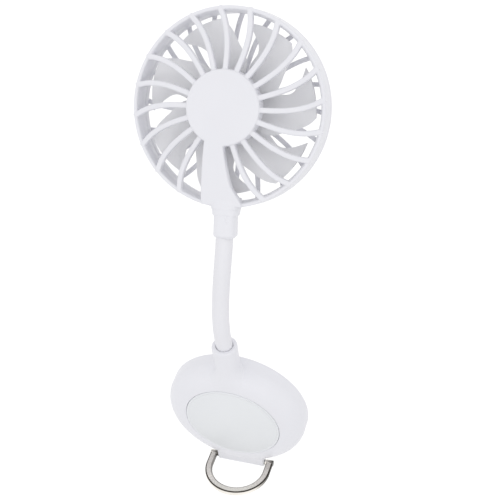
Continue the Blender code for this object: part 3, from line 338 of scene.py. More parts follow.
# Finishes: the stretch of noise that is used, the grain's own mix, and the Mix node's colour sockets
noise_low = 0.25
noise_high = 0.75
grain_roughness = 0.6
gloss_scale_share = 0.11
colour_a = 6
colour_b = 7
colour_out = 2


# The fan's own axes
fan_centre = Vector(joints["rotor_spin"]["pos_m"])
head_turn = Matrix.Rotation(-neck_pitch, 4, 'X') @ Matrix.Rotation(-neck_roll, 4, 'Y')
head_place = Matrix.Translation(fan_centre) @ head_turn
head_up = (head_turn @ Vector((0, 0, 1))).normalized()
foot_bottom = cage_radius + foot_drop
collar_top = foot_bottom + gap
collar_bottom = collar_top + collar_length


# Mesh helpers
def to_object(name, bm, material=None):
    """A bmesh as a smooth-shaded object in the scene."""
    bmesh.ops.recalc_face_normals(bm, faces=bm.faces[:])
    mesh = bpy.data.meshes.new(name)
    bm.to_mesh(mesh)
    bm.free()
    obj = bpy.data.objects.new(name, mesh)
    bpy.context.scene.collection.objects.link(obj)
    mesh.shade_smooth()
    if material:
        mesh.materials.append(material)
    return obj


def apply_modifiers(obj):
    """Keeps what the modifiers make as the object's own mesh."""
    bpy.context.view_layer.update()
    graph = bpy.context.evaluated_depsgraph_get()
    made = bpy.data.meshes.new_from_object(obj.evaluated_get(graph))
    obj.modifiers.clear()
    old = obj.data
    obj.data = made
    made.name = obj.name
    bpy.data.meshes.remove(old)


def melt(obj, voxel, rounds=relax_rounds):
    """Joins overlapping shells into one white moulded skin with small fillets."""
    remesh = obj.modifiers.new("melt", 'REMESH')
    remesh.mode = 'VOXEL'
    remesh.voxel_size = voxel
    relax = obj.modifiers.new("relax", 'SMOOTH')
    relax.factor = 0.5
    relax.iterations = rounds
    apply_modifiers(obj)
    obj.data.shade_smooth()
    obj.data.materials.clear()
    obj.data.materials.append(finishes["white_plastic"])
    return obj


def combine(obj, tool, operation, own_overlaps):
    """Works a tool into the object and deletes the tool."""
    step = obj.modifiers.new("combine", 'BOOLEAN')
    step.operation = operation
    step.solver = 'EXACT'
    step.use_self = own_overlaps
    step.object = tool
    apply_modifiers(obj)
    bpy.data.objects.remove(tool, do_unlink=True)


def cut(obj, *tools):
    """Takes the tools out of the object."""
    for tool in tools:
        combine(obj, tool, 'DIFFERENCE', True)
    return obj


def join(obj, tool):
    """Adds the tool to the object."""
    combine(obj, tool, 'UNION', False)


def gather(name, *meshes):
    """One bmesh with all the shells of several."""
    whole = bmesh.new()
    for part in meshes:
        mesh = bpy.data.meshes.new(name)
        bmesh.ops.recalc_face_normals(part, faces=part.faces[:])
        part.to_mesh(mesh)
        part.free()
        whole.from_mesh(mesh)
        bpy.data.meshes.remove(mesh)
    return whole


def rounded(corners, closed=False):
    """(x, y, radius) corners as a smooth outline of (x, y) points."""
    outline = []
    count = len(corners)
    for i, (x, y, radius) in enumerate(corners):
        here = Vector((x, y))
        if radius == 0 or (not closed and i in (0, count - 1)):
            outline.append((x, y))
            continue
        before = Vector(corners[i - 1][:2]) - here
        after = Vector(corners[(i + 1) % count][:2]) - here
        reach = min(radius, before.length * fillet_share, after.length * fillet_share)
        start = here + before.normalized() * reach
        end = here + after.normalized() * reach
        for k in range(fillet_steps + 1):
            t = k / fillet_steps
            point = start * (1 - t) ** 2 + here * (2 * t * (1 - t)) + end * t ** 2
            outline.append((point.x, point.y))
    return outline


def arc(centre, reach, rise, start, end, steps):
    """(x, y) points on an ellipse's stretch, both ends included."""
    points = []
    for i in range(steps + 1):
        turn = start + (end - start) * i / steps
        points.append((centre[0] + reach * math.cos(turn), centre[1] + rise * math.sin(turn)))
    return points


def turned(profile, segments=round_segments, closed=False):
    """Revolves (radius, depth) points about Y; depth runs along +Y."""
    bm = bmesh.new()
    rows = []
    for radius, depth in profile:
        if radius == 0:
            rows.append([bm.verts.new((0, depth, 0))])
            continue
        row = []
        for i in range(segments):
            turn = math.tau * i / segments
            row.append(bm.verts.new((radius * math.sin(turn), depth, radius * math.cos(turn))))
        rows.append(row)
    pairs = list(zip(rows, rows[1:]))
    if closed:
        pairs.append((rows[-1], rows[0]))
    for a, b in pairs:
        for i in range(segments):
            j = (i + 1) % segments
            ring = [a[i % len(a)], a[j % len(a)], b[j % len(b)], b[i % len(b)]]
            bm.faces.new(list(dict.fromkeys(ring)))
    return bm


def flip(profile):
    """Depths below the magnetic face run along -Y."""
    return [(radius, -depth) for radius, depth in profile]


def loft(bm, sections, closed=False):
    """Skins rings of equal point count; an open loft gets flat ends."""
    rings = [[bm.verts.new(point) for point in section] for section in sections]
    count = len(rings[0])
    pairs = list(zip(rings, rings[1:]))
    if closed:
        pairs.append((rings[-1], rings[0]))
    for low, high in pairs:
        for i in range(count):
            j = (i + 1) % count
            bm.faces.new((low[i], low[j], high[j], high[i]))
    if not closed:
        bm.faces.new(rings[0][::-1])
        bm.faces.new(rings[-1])
    return bm


def section_frame(tangent):
    """Two directions square to a path, the first as near to +X as it can be."""
    side = Vector((1, 0, 0))
    side = (side - tangent * side.dot(tangent)).normalized()
    return side, tangent.cross(side)


def circle(centre, tangent, radius, sides):
    side, front = section_frame(tangent)
    ring = []
    for i in range(sides):
        turn = math.tau * i / sides
        ring.append(centre + side * (radius * math.cos(turn)) + front * (radius * math.sin(turn)))
    return ring


def rod(start, end, radius, sides=small_segments):
    """A straight round rod between two points."""
    bm = bmesh.new()
    start = Vector(start)
    end = Vector(end)
    along = (end - start).normalized()
    helper = Vector((0, 0, 1)) if abs(along.z) < abs(along.x) + abs(along.y) else Vector((1, 0, 0))
    side = along.cross(helper).normalized()
    front = along.cross(side)
    sections = []
    for centre in (start, end):
        ring = []
        for i in range(sides):
            turn = math.tau * i / sides
            ring.append(centre + side * (radius * math.cos(turn)) + front * (radius * math.sin(turn)))
        sections.append(ring)
    return loft(bm, sections)


def superellipse(half_x, half_y, power, count):
    """An oval outline; power 2 is an ellipse, more is squarer."""
    outline = []
    for i in range(count):
        turn = math.tau * (i + 0.5) / count
        c = math.cos(turn)
        s = math.sin(turn)
        x = half_x * math.copysign(abs(c) ** (2 / power), c)
        y = half_y * math.copysign(abs(s) ** (2 / power), s)
        outline.append((x, y))
    return outline


def in_head(obj):
    """Moves a piece made in the fan's own axes to its place."""
    obj.data.transform(head_place)
    return obj


# Materials
def add_node(tree, kind, **values):
    node = tree.nodes.new(kind)
    for name, value in values.items():
        setattr(node, name, value)
    return node


def noise(tree, place, scale, detail, roughness=0.5):
    """Noise over a place, as a value of 0 to 1."""
    node = add_node(tree, "ShaderNodeTexNoise")
    node.inputs["Scale"].default_value = scale
    node.inputs["Detail"].default_value = detail
    node.inputs["Roughness"].default_value = roughness
    tree.links.new(place, node.inputs["Vector"])
    return node.outputs["Fac"]


def spread(tree, factor, low, high):
    """Noise stretched to run from low to high."""
    node = add_node(tree, "ShaderNodeMapRange")
    node.inputs["From Min"].default_value = noise_low
    node.inputs["From Max"].default_value = noise_high
    node.inputs["To Min"].default_value = low
    node.inputs["To Max"].default_value = high
    tree.links.new(factor, node.inputs["Value"])
    return node.outputs["Result"]


def finish(name, light, dark, rough, grain, drift=45.0, metallic=0.0, stretch=(1, 1, 1)):
    """A moulded or ground surface: slow drift of colour and gloss, and a fine grain.
    light and dark are colours; rough is (low, high); grain is (scale, height in metres)."""
    material = bpy.data.materials.new(name)
    material.use_nodes = True
    tree = material.node_tree
    shader = tree.nodes["Principled BSDF"]
    shader.inputs["Metallic"].default_value = metallic
    place = add_node(tree, "ShaderNodeTexCoord").outputs["Object"]
    stretched = add_node(tree, "ShaderNodeMapping")
    stretched.inputs["Scale"].default_value = stretch
    tree.links.new(place, stretched.inputs["Vector"])
    slow = noise(tree, place, drift, 3.0)
    tint = add_node(tree, "ShaderNodeMix", data_type='RGBA')
    tint.inputs[colour_a].default_value = (*light, 1.0)
    tint.inputs[colour_b].default_value = (*dark, 1.0)
    tree.links.new(spread(tree, slow, 0.0, 1.0), tint.inputs[0])
    tree.links.new(tint.outputs[colour_out], shader.inputs["Base Color"])
    fine = noise(tree, stretched.outputs["Vector"], grain[0], 4.0, grain_roughness)
    gloss = noise(tree, stretched.outputs["Vector"], grain[0] * gloss_scale_share, 3.0)
    tree.links.new(spread(tree, gloss, *rough), shader.inputs["Roughness"])
    bump = add_node(tree, "ShaderNodeBump")
    bump.inputs["Strength"].default_value = 1.0
    bump.inputs["Distance"].default_value = grain[1]
    tree.links.new(fine, bump.inputs["Height"])
    tree.links.new(bump.outputs["Normal"], shader.inputs["Normal"])
    return material


def make_finishes():
    """One finish for each material slot of the record, and two finer ones."""
    return {
        "white_plastic": finish("moulded_white", (0.805, 0.806, 0.848), (0.785, 0.786, 0.830),
                                (0.30, 0.42), (2600.0, 0.0000035)),
        "face_disc": finish("face_disc", (0.800, 0.812, 0.842), (0.788, 0.806, 0.826),
                            (0.42, 0.50), (900.0, 0.0000006), 18.0),
        "rotor": finish("rotor_white", (0.845, 0.845, 0.865), (0.815, 0.815, 0.835),
                        (0.34, 0.46), (2200.0, 0.0000040)),
        "sleeve_silicone": finish("neck_skin", (0.806, 0.804, 0.842), (0.785, 0.783, 0.820),
                                  (0.38, 0.52), (3200.0, 0.0000060)),
        "pad_rubber": finish("grip_pad", (0.690, 0.700, 0.730), (0.650, 0.660, 0.690),
                             (0.62, 0.78), (3600.0, 0.0000220)),
        "polished_nickel": finish("polished_nickel", (0.920, 0.885, 0.830), (0.800, 0.765, 0.710),
                                  (0.10, 0.22), (1500.0, 0.0000030), 160.0, 1.0),
        "steel": finish("plain_steel", (0.560, 0.560, 0.570), (0.500, 0.500, 0.510),
                        (0.26, 0.40), (1800.0, 0.0000050), 120.0, 1.0),
        "magnet_plating": finish("magnet_plating", (0.520, 0.520, 0.540), (0.450, 0.450, 0.470),
                                 (0.22, 0.34), (1800.0, 0.0000040), 120.0, 1.0),
        "brass": finish("turned_brass", (0.720, 0.560, 0.280), (0.640, 0.480, 0.220),
                        (0.24, 0.36), (2400.0, 0.0000050), 120.0, 1.0, (1, 6, 1)),
        "board_green": finish("board_green", (0.030, 0.200, 0.090), (0.022, 0.150, 0.070),
                              (0.36, 0.50), (1600.0, 0.0000080), 220.0),
        "cell_foil": finish("cell_foil", (0.440, 0.460, 0.480), (0.380, 0.400, 0.420),
                            (0.32, 0.46), (1200.0, 0.0000300), 90.0),
        "black_plastic": finish("black_plastic", (0.030, 0.030, 0.030), (0.022, 0.022, 0.022),
                                (0.40, 0.52), (2200.0, 0.0000060)),
        "lead_jacket": finish("lead_jacket", (0.750, 0.080, 0.060), (0.640, 0.060, 0.045),
                              (0.40, 0.52), (2400.0, 0.0000060)),
    }


def paint_dark_reflections(material):
    """Lets a piece's own tone attribute, where it has one, darken its colour with painted dark reflections."""
    tree = material.node_tree
    shader = tree.nodes["Principled BSDF"]
    plain = shader.inputs["Base Color"].links[0].from_socket
    tone = add_node(tree, "ShaderNodeAttribute", attribute_name="painted_reflection_tone")
    mix = add_node(tree, "ShaderNodeMix", data_type='RGBA')
    mix.inputs[colour_b].default_value = painted_reflection_colour
    tree.links.new(tone.outputs["Fac"], mix.inputs[0])
    tree.links.new(plain, mix.inputs[colour_a])
    tree.links.new(mix.outputs[colour_out], shader.inputs["Base Color"])


finishes = make_finishes()
# Painted dark reflections on the polished nickel, where a piece carries the tone attribute
paint_dark_reflections(finishes["polished_nickel"])


def dress_frame():
    """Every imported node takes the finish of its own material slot."""
    for row in frame["record"]["subparts"]:
        mesh = frame["nodes"][row["node"]].data
        mesh.materials.clear()
        mesh.materials.append(finishes[row["material_slot"]])


def put(obj, body, slot, *nodes):
    """Rides a piece on its body and lets it stand for its nodes; slot is not used."""
    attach(obj, body)
    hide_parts(*nodes)
    return obj


# Base
def shoulder(inset, steps):
    """The dome's rounded shoulder as (radius, depth) points, or its inside wall."""
    centre = (puck_radius - shoulder_reach, side_depth)
    reach = shoulder_reach - inset
    rise = puck_depth - side_depth - inset
    return arc(centre, reach, rise, 0, math.pi / 2, steps)


def make_pad():
    """The soft disc that touches the phone."""
    profile = rounded([(0, 0, 0), (pad_radius, 0, pad_edge), (pad_radius, pad_thickness, pad_edge / 2),
                       (0, pad_thickness, 0)])
    pad = to_object("pad_disc", turned(flip(profile)), finishes["pad_rubber"])
    return put(pad, "base", "pad_rubber", "grip_pad")


def make_plate():
    """The face disc, with a fine groove near its rim and a boss for the switch."""
    reach = plate_radius + gap - plate_gap
    groove = reach - plate_groove_inset
    profile = rounded([(0, puck_depth, 0), (groove - plate_groove_half, puck_depth, 0),
                       (groove, puck_depth - plate_groove_depth, 0),
                       (groove + plate_groove_half, puck_depth, 0), (reach, puck_depth, plate_edge),
                       (reach, plate_underside, plate_low_edge),
                       (plate_boss_radius, plate_underside, 0),
                       (plate_boss_radius, plate_underside - plate_boss_height, 0),
                       (0, plate_underside - plate_boss_height, 0)])
    plate = to_object("face_plate", turned(flip(profile)), finishes["face_disc"])
    return put(plate, "face_button", "white_plastic", "press_plate")


def dome_bmesh():
    """The base shell as one closed outline: rim, dome, disc recess, deck and inside wall."""
    recess = plate_radius + gap
    outer = [(radius, depth, 0) for radius, depth in shoulder(0, shoulder_steps)
             if radius > recess + lip_round]
    inner = [(radius, depth, 0) for radius, depth in shoulder(wall, shoulder_steps)
             if depth < deck_top - deck_thickness]
    deck_low = deck_top - deck_thickness
    corners = [(puck_radius - wall, rim_depth, lip_round), (puck_radius, rim_depth, rim_round)]
    corners += outer
    corners += [(recess, puck_depth - dome_lip_drop, lip_round), (recess, deck_top, 0),
                (deck_hole_radius, deck_top, 0), (deck_hole_radius, deck_low, 0),
                (inner[-1][0], deck_low, 0)]
    corners += inner[::-1]
    return turned(flip(rounded(corners, closed=True)), closed=True)


def socket_bmesh():
    """The neck's socket, which widens into the dome and ends above the disc."""
    levels = []
    for i in range(fillet_steps + 1):
        turn = math.pi / 2 * i / fillet_steps
        shrink = socket_round * (1 - math.sin(turn))
        levels.append((socket_top - socket_round * (1 - math.cos(turn)), socket_radius - shrink,
                       socket_radius - shrink))
    for i in range(socket_steps + 1):
        share = i / socket_steps
        level = socket_flare_start + (socket_root - socket_flare_start) * share
        spread_out = socket_flare * share ** socket_flare_power
        levels.append((level, socket_radius + spread_out, socket_radius))
    sections = []
    for level, a, b in levels:
        outline = superellipse(a, b, 2.0, small_segments)
        sections.append([(x + socket_shift, y - neck_depth, level) for x, y in outline])
    return loft(bmesh.new(), sections)


def tab_bmesh():
    """The round-nosed tab that carries the bail's pin."""
    outline = arc((hinge.y, hinge.z), tab_radius, tab_radius, math.pi, math.tau, tab_steps)
    outline += [(hinge.y + tab_radius, hinge.z + tab_root), (hinge.y - tab_radius, hinge.z + tab_root)]
    bm = bmesh.new()
    stations = [(-tab_half_width, tab_edge), (-tab_half_width + tab_edge, 0),
                (tab_half_width - tab_edge, 0), (tab_half_width, tab_edge)]
    sections = []
    for x, inset in stations:
        shrink = 1 - inset / tab_radius
        sections.append([(x, hinge.y + (y - hinge.y) * shrink, hinge.z + (z - hinge.z) * shrink)
                         for y, z in outline])
    return loft(bm, sections)


def port_slot_bmesh():
    """The slot for the charging plug, as a tool along the port's own direction."""
    half = port_height / 2 + port_slot_gap
    straight = port_width / 2 + port_slot_gap - half
    outline = arc((straight, 0), half, half, -math.pi / 2, math.pi / 2, port_steps)
    outline += arc((-straight, 0), half, half, math.pi / 2, 3 * math.pi / 2, port_steps)
    out = Vector((math.sin(port_turn), 0, math.cos(port_turn)))
    across = Vector((math.cos(port_turn), 0, -math.sin(port_turn)))
    tall = Vector((0, -1, 0))
    bm = bmesh.new()
    return loft(bm, [[out * reach + across * a + tall * (port_level + b) for a, b in outline]
                     for reach in (puck_radius - 2 * wall, puck_radius + overrun)])


def make_housing():
    """The base shell with the neck's bore, the lead's way, the plug's slot and the pin's bore."""
    shell = to_object("base_shell", gather("shell", dome_bmesh(), socket_bmesh(), tab_bmesh()))
    reach = tab_half_width + overrun
    side = Vector((reach, 0, 0))
    cut(shell,
        to_object("tool", rod((socket_shift, -neck_depth, socket_floor),
                              (socket_shift, -neck_depth, socket_top + overrun), socket_bore)),
        to_object("tool", rod((0, -neck_depth, way_start),
                              (0, -neck_depth, socket_floor + overrun), way_radius)),
        to_object("tool", port_slot_bmesh()),
        to_object("tool", rod(hinge - side, hinge + side, pin_bore)))
    melt(shell, housing_voxel)
    return put(shell, "base", "white_plastic", "front_housing")


# Bail
def bail_section(place, across, shrink, fullness):
    """The bar's rounded section; fullness 1 is at the bend and 0 at the ends."""
    half = (bail_end_height + (bail_height - bail_end_height) * fullness) / 2
    corners = [(-bail_width / 2, -half, bail_round), (bail_width / 2, -half, bail_round),
               (bail_width / 2, half, bail_round), (-bail_width / 2, half, bail_round)]
    return [place + across * (a * shrink) + Vector((0, 0, h * shrink))
            for a, h in rounded(corners, closed=True)]


def paint_bail_reflections(mesh):
    """Painted dark reflections along the bar's rounded edges, on its right outer wall and left inner wall."""
    middle = bail_inner + bail_width / 2
    flat = bail_width / 2 - bail_round
    tones = []
    for vertex in mesh.vertices:
        x, y, height = vertex.co
        past = max(-bail_leg - y, 0)
        out = math.hypot(x, past)
        side = x / out if past > 0 else math.copysign(1, x)
        across = (out - middle - flat) / bail_round
        inward = (middle - flat - out) / bail_round
        tone = 0
        if height > 0 and tone_start < across < tone_end:
            tone = 1
        elif height > 0 and tone_start < inward < tone_end:
            tone = inner_edge_tone
        elif across >= tone_end:
            tone = min(max((side - right_wall_start) * right_wall_gain, 0), 1)
        elif inward >= tone_end:
            tone = min(max((-side - left_wall_start) * left_wall_gain, 0), left_wall_most)
        tones.append(tone)
    mesh.attributes.new("painted_reflection_tone", 'FLOAT', 'POINT').data.foreach_set("value", tones)


def make_bail():
    """A flat bar bent to a U with a butt seam on one side, and an eye on each end."""
    middle = bail_inner + bail_width / 2
    turns = [math.pi * i / bail_steps for i in range(bail_steps + 1)]
    half = seam_width / middle
    turns = [t for t in turns if abs(t - seam_turn) > 2 * half]
    turns += [seam_turn - half, seam_turn, seam_turn + half]
    turns.sort()
    bm = bmesh.new()
    sections = [bail_section(Vector((-middle, 0, 0)), Vector((-1, 0, 0)), 1, 0)]
    for turn in turns:
        out = Vector((-math.cos(turn), -math.sin(turn), 0))
        shrink = seam_depth_share if abs(turn - seam_turn) < half / 2 else 1
        sections.append(bail_section(Vector((0, -bail_leg, 0)) + out * middle, out, shrink, math.sin(turn)))
    sections.append(bail_section(Vector((middle, 0, 0)), Vector((1, 0, 0)), 1, 0))
    loft(bm, sections)
    bail = to_object("bail_bar", bm, finishes["polished_nickel"])
    outer = bail_inner + bail_width
    inner = tab_half_width + gap
    for sign in (-1, 1):
        for start, end, radius in ((bail_inner, outer, bail_eye), (inner, middle, bail_boss)):
            join(bail, to_object("tool", rod((sign * start, 0, 0), (sign * end, 0, 0), radius)))
        cut(bail, to_object("tool", rod((sign * (inner - overrun), 0, 0),
                                        (sign * (outer - pin_end + gap), 0, 0), pin_bore)))
    bail.data.shade_smooth()
    bail.data.set_sharp_from_angle(angle=bail_sharp)
    # Paints dark reflections along the bar's edges and walls
    paint_bail_reflections(bail.data)
    bail.data.transform(Matrix.Translation(hinge) @ Matrix.Rotation(-bail_opening, 4, 'X'))
    return put(bail, "bail", "polished_nickel", "bail_ring")


# Neck
def neck_points():
    """The neck's centre line: out of the socket, one smooth bend, into the collar."""
    p1 = neck_mouth + lower_pull
    p2 = collar_mouth - head_up * upper_pull
    inner_end = collar_mouth + head_up * collar_length
    points = [neck_foot.lerp(neck_mouth, i / neck_end_steps) for i in range(neck_end_steps)]
    for i in range(neck_bend_steps):
        t = i / neck_bend_steps
        u = 1 - t
        points.append(neck_mouth * u ** 3 + p1 * (3 * u * u * t)
                      + p2 * (3 * u * t * t) + collar_mouth * t ** 3)
    points += [collar_mouth.lerp(inner_end, i / neck_end_steps) for i in range(neck_end_steps + 1)]
    return points


class Line:
    """A path read by its length from the start."""

    def __init__(self, points):
        self.points = points
        self.lengths = [0]
        for a, b in zip(points, points[1:]):
            self.lengths.append(self.lengths[-1] + (b - a).length)
        self.total = self.lengths[-1]

    def at(self, distance):
        distance = min(max(distance, 0), self.total)
        for i in range(len(self.points) - 1):
            if distance <= self.lengths[i + 1]:
                break
        share = (distance - self.lengths[i]) / (self.lengths[i + 1] - self.lengths[i])
        return self.points[i].lerp(self.points[i + 1], share)

    def direction(self, distance):
        return (self.at(distance + gap) - self.at(distance - gap)).normalized()


def tube(line, start, end, step, radius, sides, bore=None):
    """A round skin along a stretch of a path, hollow when it has a bore."""
    count = max(int(round((end - start) / step)), 1)
    outer = []
    inner = []
    for i in range(count + 1):
        distance = start + (end - start) * i / count
        centre = line.at(distance)
        tangent = line.direction(distance)
        outer.append(circle(centre, tangent, radius, sides))
        if bore:
            inner.append(circle(centre, tangent, bore, sides))
    bm = bmesh.new()
    if bore:
        return loft(bm, outer + inner[::-1], closed=True)
    return loft(bm, outer)


def smooth_path(points, steps):
    """A smooth curve through the points."""
    result = []
    for i in range(len(points) - 1):
        a = points[max(i - 1, 0)]
        b = points[i]
        c = points[i + 1]
        d = points[min(i + 2, len(points) - 1)]
        for k in range(steps):
            t = k / steps
            result.append((b * 2 + (c - a) * t + (a * 2 - b * 5 + c * 4 - d) * t * t
                           + (b * 3 - a - c * 3 + d) * t ** 3) / 2)
    result.append(points[-1])
    return result


def head_point(x, y, z):
    """A place in the fan's own axes, as one in the frame's."""
    return head_place @ Vector((x, y, z))


def lead_in_head():
    """From the collar through the cage's foot, then up the strut to the motor."""
    route = [head_point(0, axis_inset, -collar_top)]
    for share in lead_strut_shares:
        level = strut_level(share) + strut_thickness - channel_depth
        t = min(max((share - lead_rise_start) / lead_rise_span, 0), 1)
        level += (axis_inset - level) * t * t * (3 - 2 * t)
        route.append(head_point(strut_middle(share), level, strut_z(share)))
    end = hub_wall - hub_rise + lead_radius + 2 * gap
    route.append(head_point(strut_middle(0), end, -(motor_radius + 2 * gap + lead_radius)))
    return route


def make_neck():
    """The sleeve and the lead inside it, one stretch for each of the neck's five bends."""
    line = Line(neck_points())
    mouth = (neck_mouth - neck_foot).length
    collar = line.total - collar_length
    hinges = [mouth + (collar - mouth) * share for share in hinge_shares]
    half = (hinges[1] - hinges[0]) / 2
    cuts = [hinges[0] - half] + [h + half for h in hinges]
    last = len(hinges) - 1
    for i in range(len(hinges)):
        start = cuts[i]
        end = cuts[i + 1]
        sleeve_low = sleeve_start if i == 0 else start
        sleeve_high = collar + collar_grip if i == last else end
        lead_low = gap if i == 0 else start
        lead_high = line.total if i == last else end
        spans = ((sleeve_low, sleeve_high, sleeve_radius, sleeve_bore, sleeve_step, sleeve_sides,
                  "neck_skin_%d", "sleeve_silicone", "neck_sleeve"),
                 (lead_low, lead_high, lead_radius, None, lead_step, lead_sides,
                  "lead_%d", "lead_jacket", "power_lead"))
        for low, high, radius, bore, step, sides, name, slot, node in spans:
            skin = tube(line, low, high, step, radius, sides, bore)
            piece = to_object(name % (i + 1), skin, finishes[slot])
            piece.data.set_sharp_from_angle(angle=sleeve_sharp)
            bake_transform(piece)
            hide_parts(node)
    foot = Line([Vector((0, -neck_depth, lead_low_end)), neck_foot + Vector((0, 0, gap))])
    low_end = to_object("lead_in_base", tube(foot, 0, foot.total, lead_step, lead_radius, lead_sides),
                        finishes["lead_jacket"])
    put(low_end, "base", "lead_jacket", "power_lead")
    route = Line(smooth_path([line.at(line.total)] + lead_in_head()[1:], lead_smooth_steps))
    high_end = to_object("lead_in_head", tube(route, 0, route.total, lead_step, lead_radius, lead_sides),
                         finishes["lead_jacket"])
    put(high_end, "head", "lead_jacket", "power_lead")


def make_collar():
    """The squarish collar, with its flange and the shallow recess in its face."""
    low = collar_top + flange_height
    foot = collar_half - collar_chamfer
    width = flange_half_width - flange_taper
    depth = flange_half_depth - flange_taper
    levels = [(foot_bottom - flange_overlap, flange_half_width, flange_half_depth),
              (low - flange_edge, width, depth), (low, width - flange_edge / 2, depth - flange_edge / 2),
              (low + flange_edge / 2, collar_half, collar_half),
              (collar_bottom - collar_chamfer, collar_half, collar_half), (collar_bottom, foot, foot)]
    sections = []
    for level, a, b in levels:
        outline = superellipse(a, b, collar_squareness, collar_sides)
        sections.append([(x, y + axis_inset, -level) for x, y in outline])
    collar = to_object("neck_cap", loft(bmesh.new(), sections))
    bore = to_object("tool", rod((0, axis_inset, -collar_bottom - overrun),
                                 (0, axis_inset, -foot_bottom + overrun), sleeve_radius + gap / 4))
    face = axis_inset - collar_half
    left = recess_centre_x - recess_half_width
    right = recess_centre_x + recess_half_width
    lower = -recess_centre_drop - recess_half_height
    upper = -recess_centre_drop + recess_half_height
    corners = rounded([(left, lower, gap), (right, lower, gap), (right, upper, gap), (left, upper, gap)],
                      closed=True)
    pocket = loft(bmesh.new(), [[(x, y, z) for x, z in corners]
                                for y in (face - overrun, face + recess_depth)])
    cut(collar, bore, to_object("tool", pocket))
    melt(collar, collar_voxel, collar_relax_rounds)
    return put(in_head(collar), "head", "white_plastic", "neck_collar")


# Cage
def read_table(share, shares, values):
    """A smooth reading between the table's places."""
    for i in range(len(shares) - 1):
        if share <= shares[i + 1]:
            break
    span = shares[i + 1] - shares[i]
    t = (share - shares[i]) / span
    before = max(i - 1, 0)
    after = min(i + 2, len(shares) - 1)
    slope_a = (values[i + 1] - values[before]) / (shares[i + 1] - shares[before]) * span
    slope_b = (values[after] - values[i]) / (shares[after] - shares[i]) * span
    return ((2 * t ** 3 - 3 * t * t + 1) * values[i] + (t ** 3 - 2 * t * t + t) * slope_a
            + (3 * t * t - 2 * t ** 3) * values[i + 1] + (t ** 3 - t * t) * slope_b)


def strut_z(share):
    return -(strut_inner + (ring_radius - strut_inner) * share)


def strut_edges(share):
    left = -ring_radius * read_table(share, strut_shares, strut_left_shares)
    right = ring_radius * read_table(share, strut_shares, strut_right_shares)
    return left, right


def strut_middle(share):
    left, right = strut_edges(share)
    return (left + right) / 2


def strut_level(share):
    """The strut's outer face, from the hub's rise down to the ring."""
    return strut_sink - hub_rise * min(read_table(share, strut_shares, strut_rise_shares), 1)


def strut_bmesh():
    """The slanting strut, whose lower end hugs the ring."""
    bm = bmesh.new()
    sections = []
    for i in range(strut_steps + 1):
        share = i / strut_steps
        left, right = strut_edges(share)
        top = strut_level(share)
        z = strut_z(share)
        hug = share ** strut_end_power
        low = top + strut_thickness
        corners = [(left, low, 0), (left, top, strut_round), (right, top, strut_round), (right, low, 0)]
        ring = rounded(corners, closed=True)
        sections.append([(x, y, z + hug * (ring_radius - math.sqrt(ring_radius ** 2 - x * x)))
                         for x, y in ring])
    return loft(bm, sections)


def bar_bmesh(bm, angle, outline, reach, levels, sweep, power, dip, sign):
    """One swirl bar from hub to rim; outline is its section, sign -1 faces the viewer."""
    inner, outer = reach
    level_in, level_out = levels
    sections = []
    for i in range(spoke_steps + 1):
        share = i / spoke_steps
        radius = inner + (outer - inner) * share
        turn = angle + sweep * share ** power
        level = level_in + (level_out - level_in) * share
        level -= dip * max(share - spoke_dip_share, 0) / (1 - spoke_dip_share)
        slope = sweep * power * share ** (power - 1)
        ahead = turn + slope * radius / (outer - inner)
        radial = Vector((math.sin(turn), 0, math.cos(turn)))
        across = Vector((math.cos(ahead), 0, -math.sin(ahead)))
        sections.append([radial * radius + across * a + Vector((0, sign * (level - d), 0))
                         for a, d in outline])
    loft(bm, sections)


def bar_outline(width, height, soft):
    half = width / 2
    corners = [(-half, height, 0), (-half, 0, soft), (half, 0, soft), (half, height, 0)]
    return rounded(corners, closed=True)


def foot_bmesh():
    bm = bmesh.new()
    outline = superellipse(flange_half_width, flange_half_depth, 4.0, small_segments)
    return loft(bm, [[(x, y + axis_inset, z) for x, y in outline] for z in (-foot_top, -foot_bottom)])


def hub_bmesh():
    """The near hub: a cup with a flat face and a rounded edge."""
    edge = arc((hub_flat, -hub_rise + hub_round), hub_round, -hub_round, math.pi / 2, 0, edge_steps)
    inner = hub_radius - hub_wall
    profile = [(0, -hub_rise)] + edge + [(hub_radius, hub_skirt), (inner, hub_skirt),
                                         (inner, -hub_rise + hub_wall), (0, -hub_rise + hub_wall)]
    return turned(profile)


def near_ring_bmesh():
    """The near ring: a narrow face, an inner bead and the outer wall."""
    inner = cage_radius - cage_wall
    step = tongue_front - gap / 3
    corners = [(ring_lip_radius, 0, edge_round), (ring_radius, 0, edge_round), (skin_radius, parting, gap),
               (inner, parting, gap), (inner, step, gap / 3), (bead_radius, step, gap / 3),
               (bead_radius, bead_depth, edge_round)]
    return turned(rounded(corners, closed=True), closed=True)


def make_near_half():
    """The cage half toward the viewer, moulded as one."""
    spokes = bmesh.new()
    outline = bar_outline(spoke_width, spoke_height, spoke_round)
    reach = (hub_radius - hub_wall / 2, ring_radius - gap / 2)
    levels = (spoke_hub_level, spoke_rim_level)
    for slot in range(slots):
        if slot not in strut_slots:
            bar_bmesh(spokes, spoke_phase + math.tau * slot / slots, outline, reach, levels,
                      spoke_sweep, spoke_power, spoke_dip, -1)
    whole = gather("cage", near_ring_bmesh(), spokes, foot_bmesh(), hub_bmesh(), strut_bmesh())
    half = to_object("near_cage", whole)
    inside = hub_radius - hub_wall
    room = [(0, -hub_rise + hub_wall), (inside, -hub_rise + hub_wall), (inside, hub_skirt + overrun),
            (0, hub_skirt + overrun)]
    cut(half, to_object("tool", turned(room)),
        to_object("tool", rod((0, axis_inset, -foot_bottom - overrun),
                              (0, axis_inset, -foot_top + overrun), foot_hole)))
    melt(half, grille_voxel)
    return put(in_head(half), "head", "white_plastic", "rear_grille")


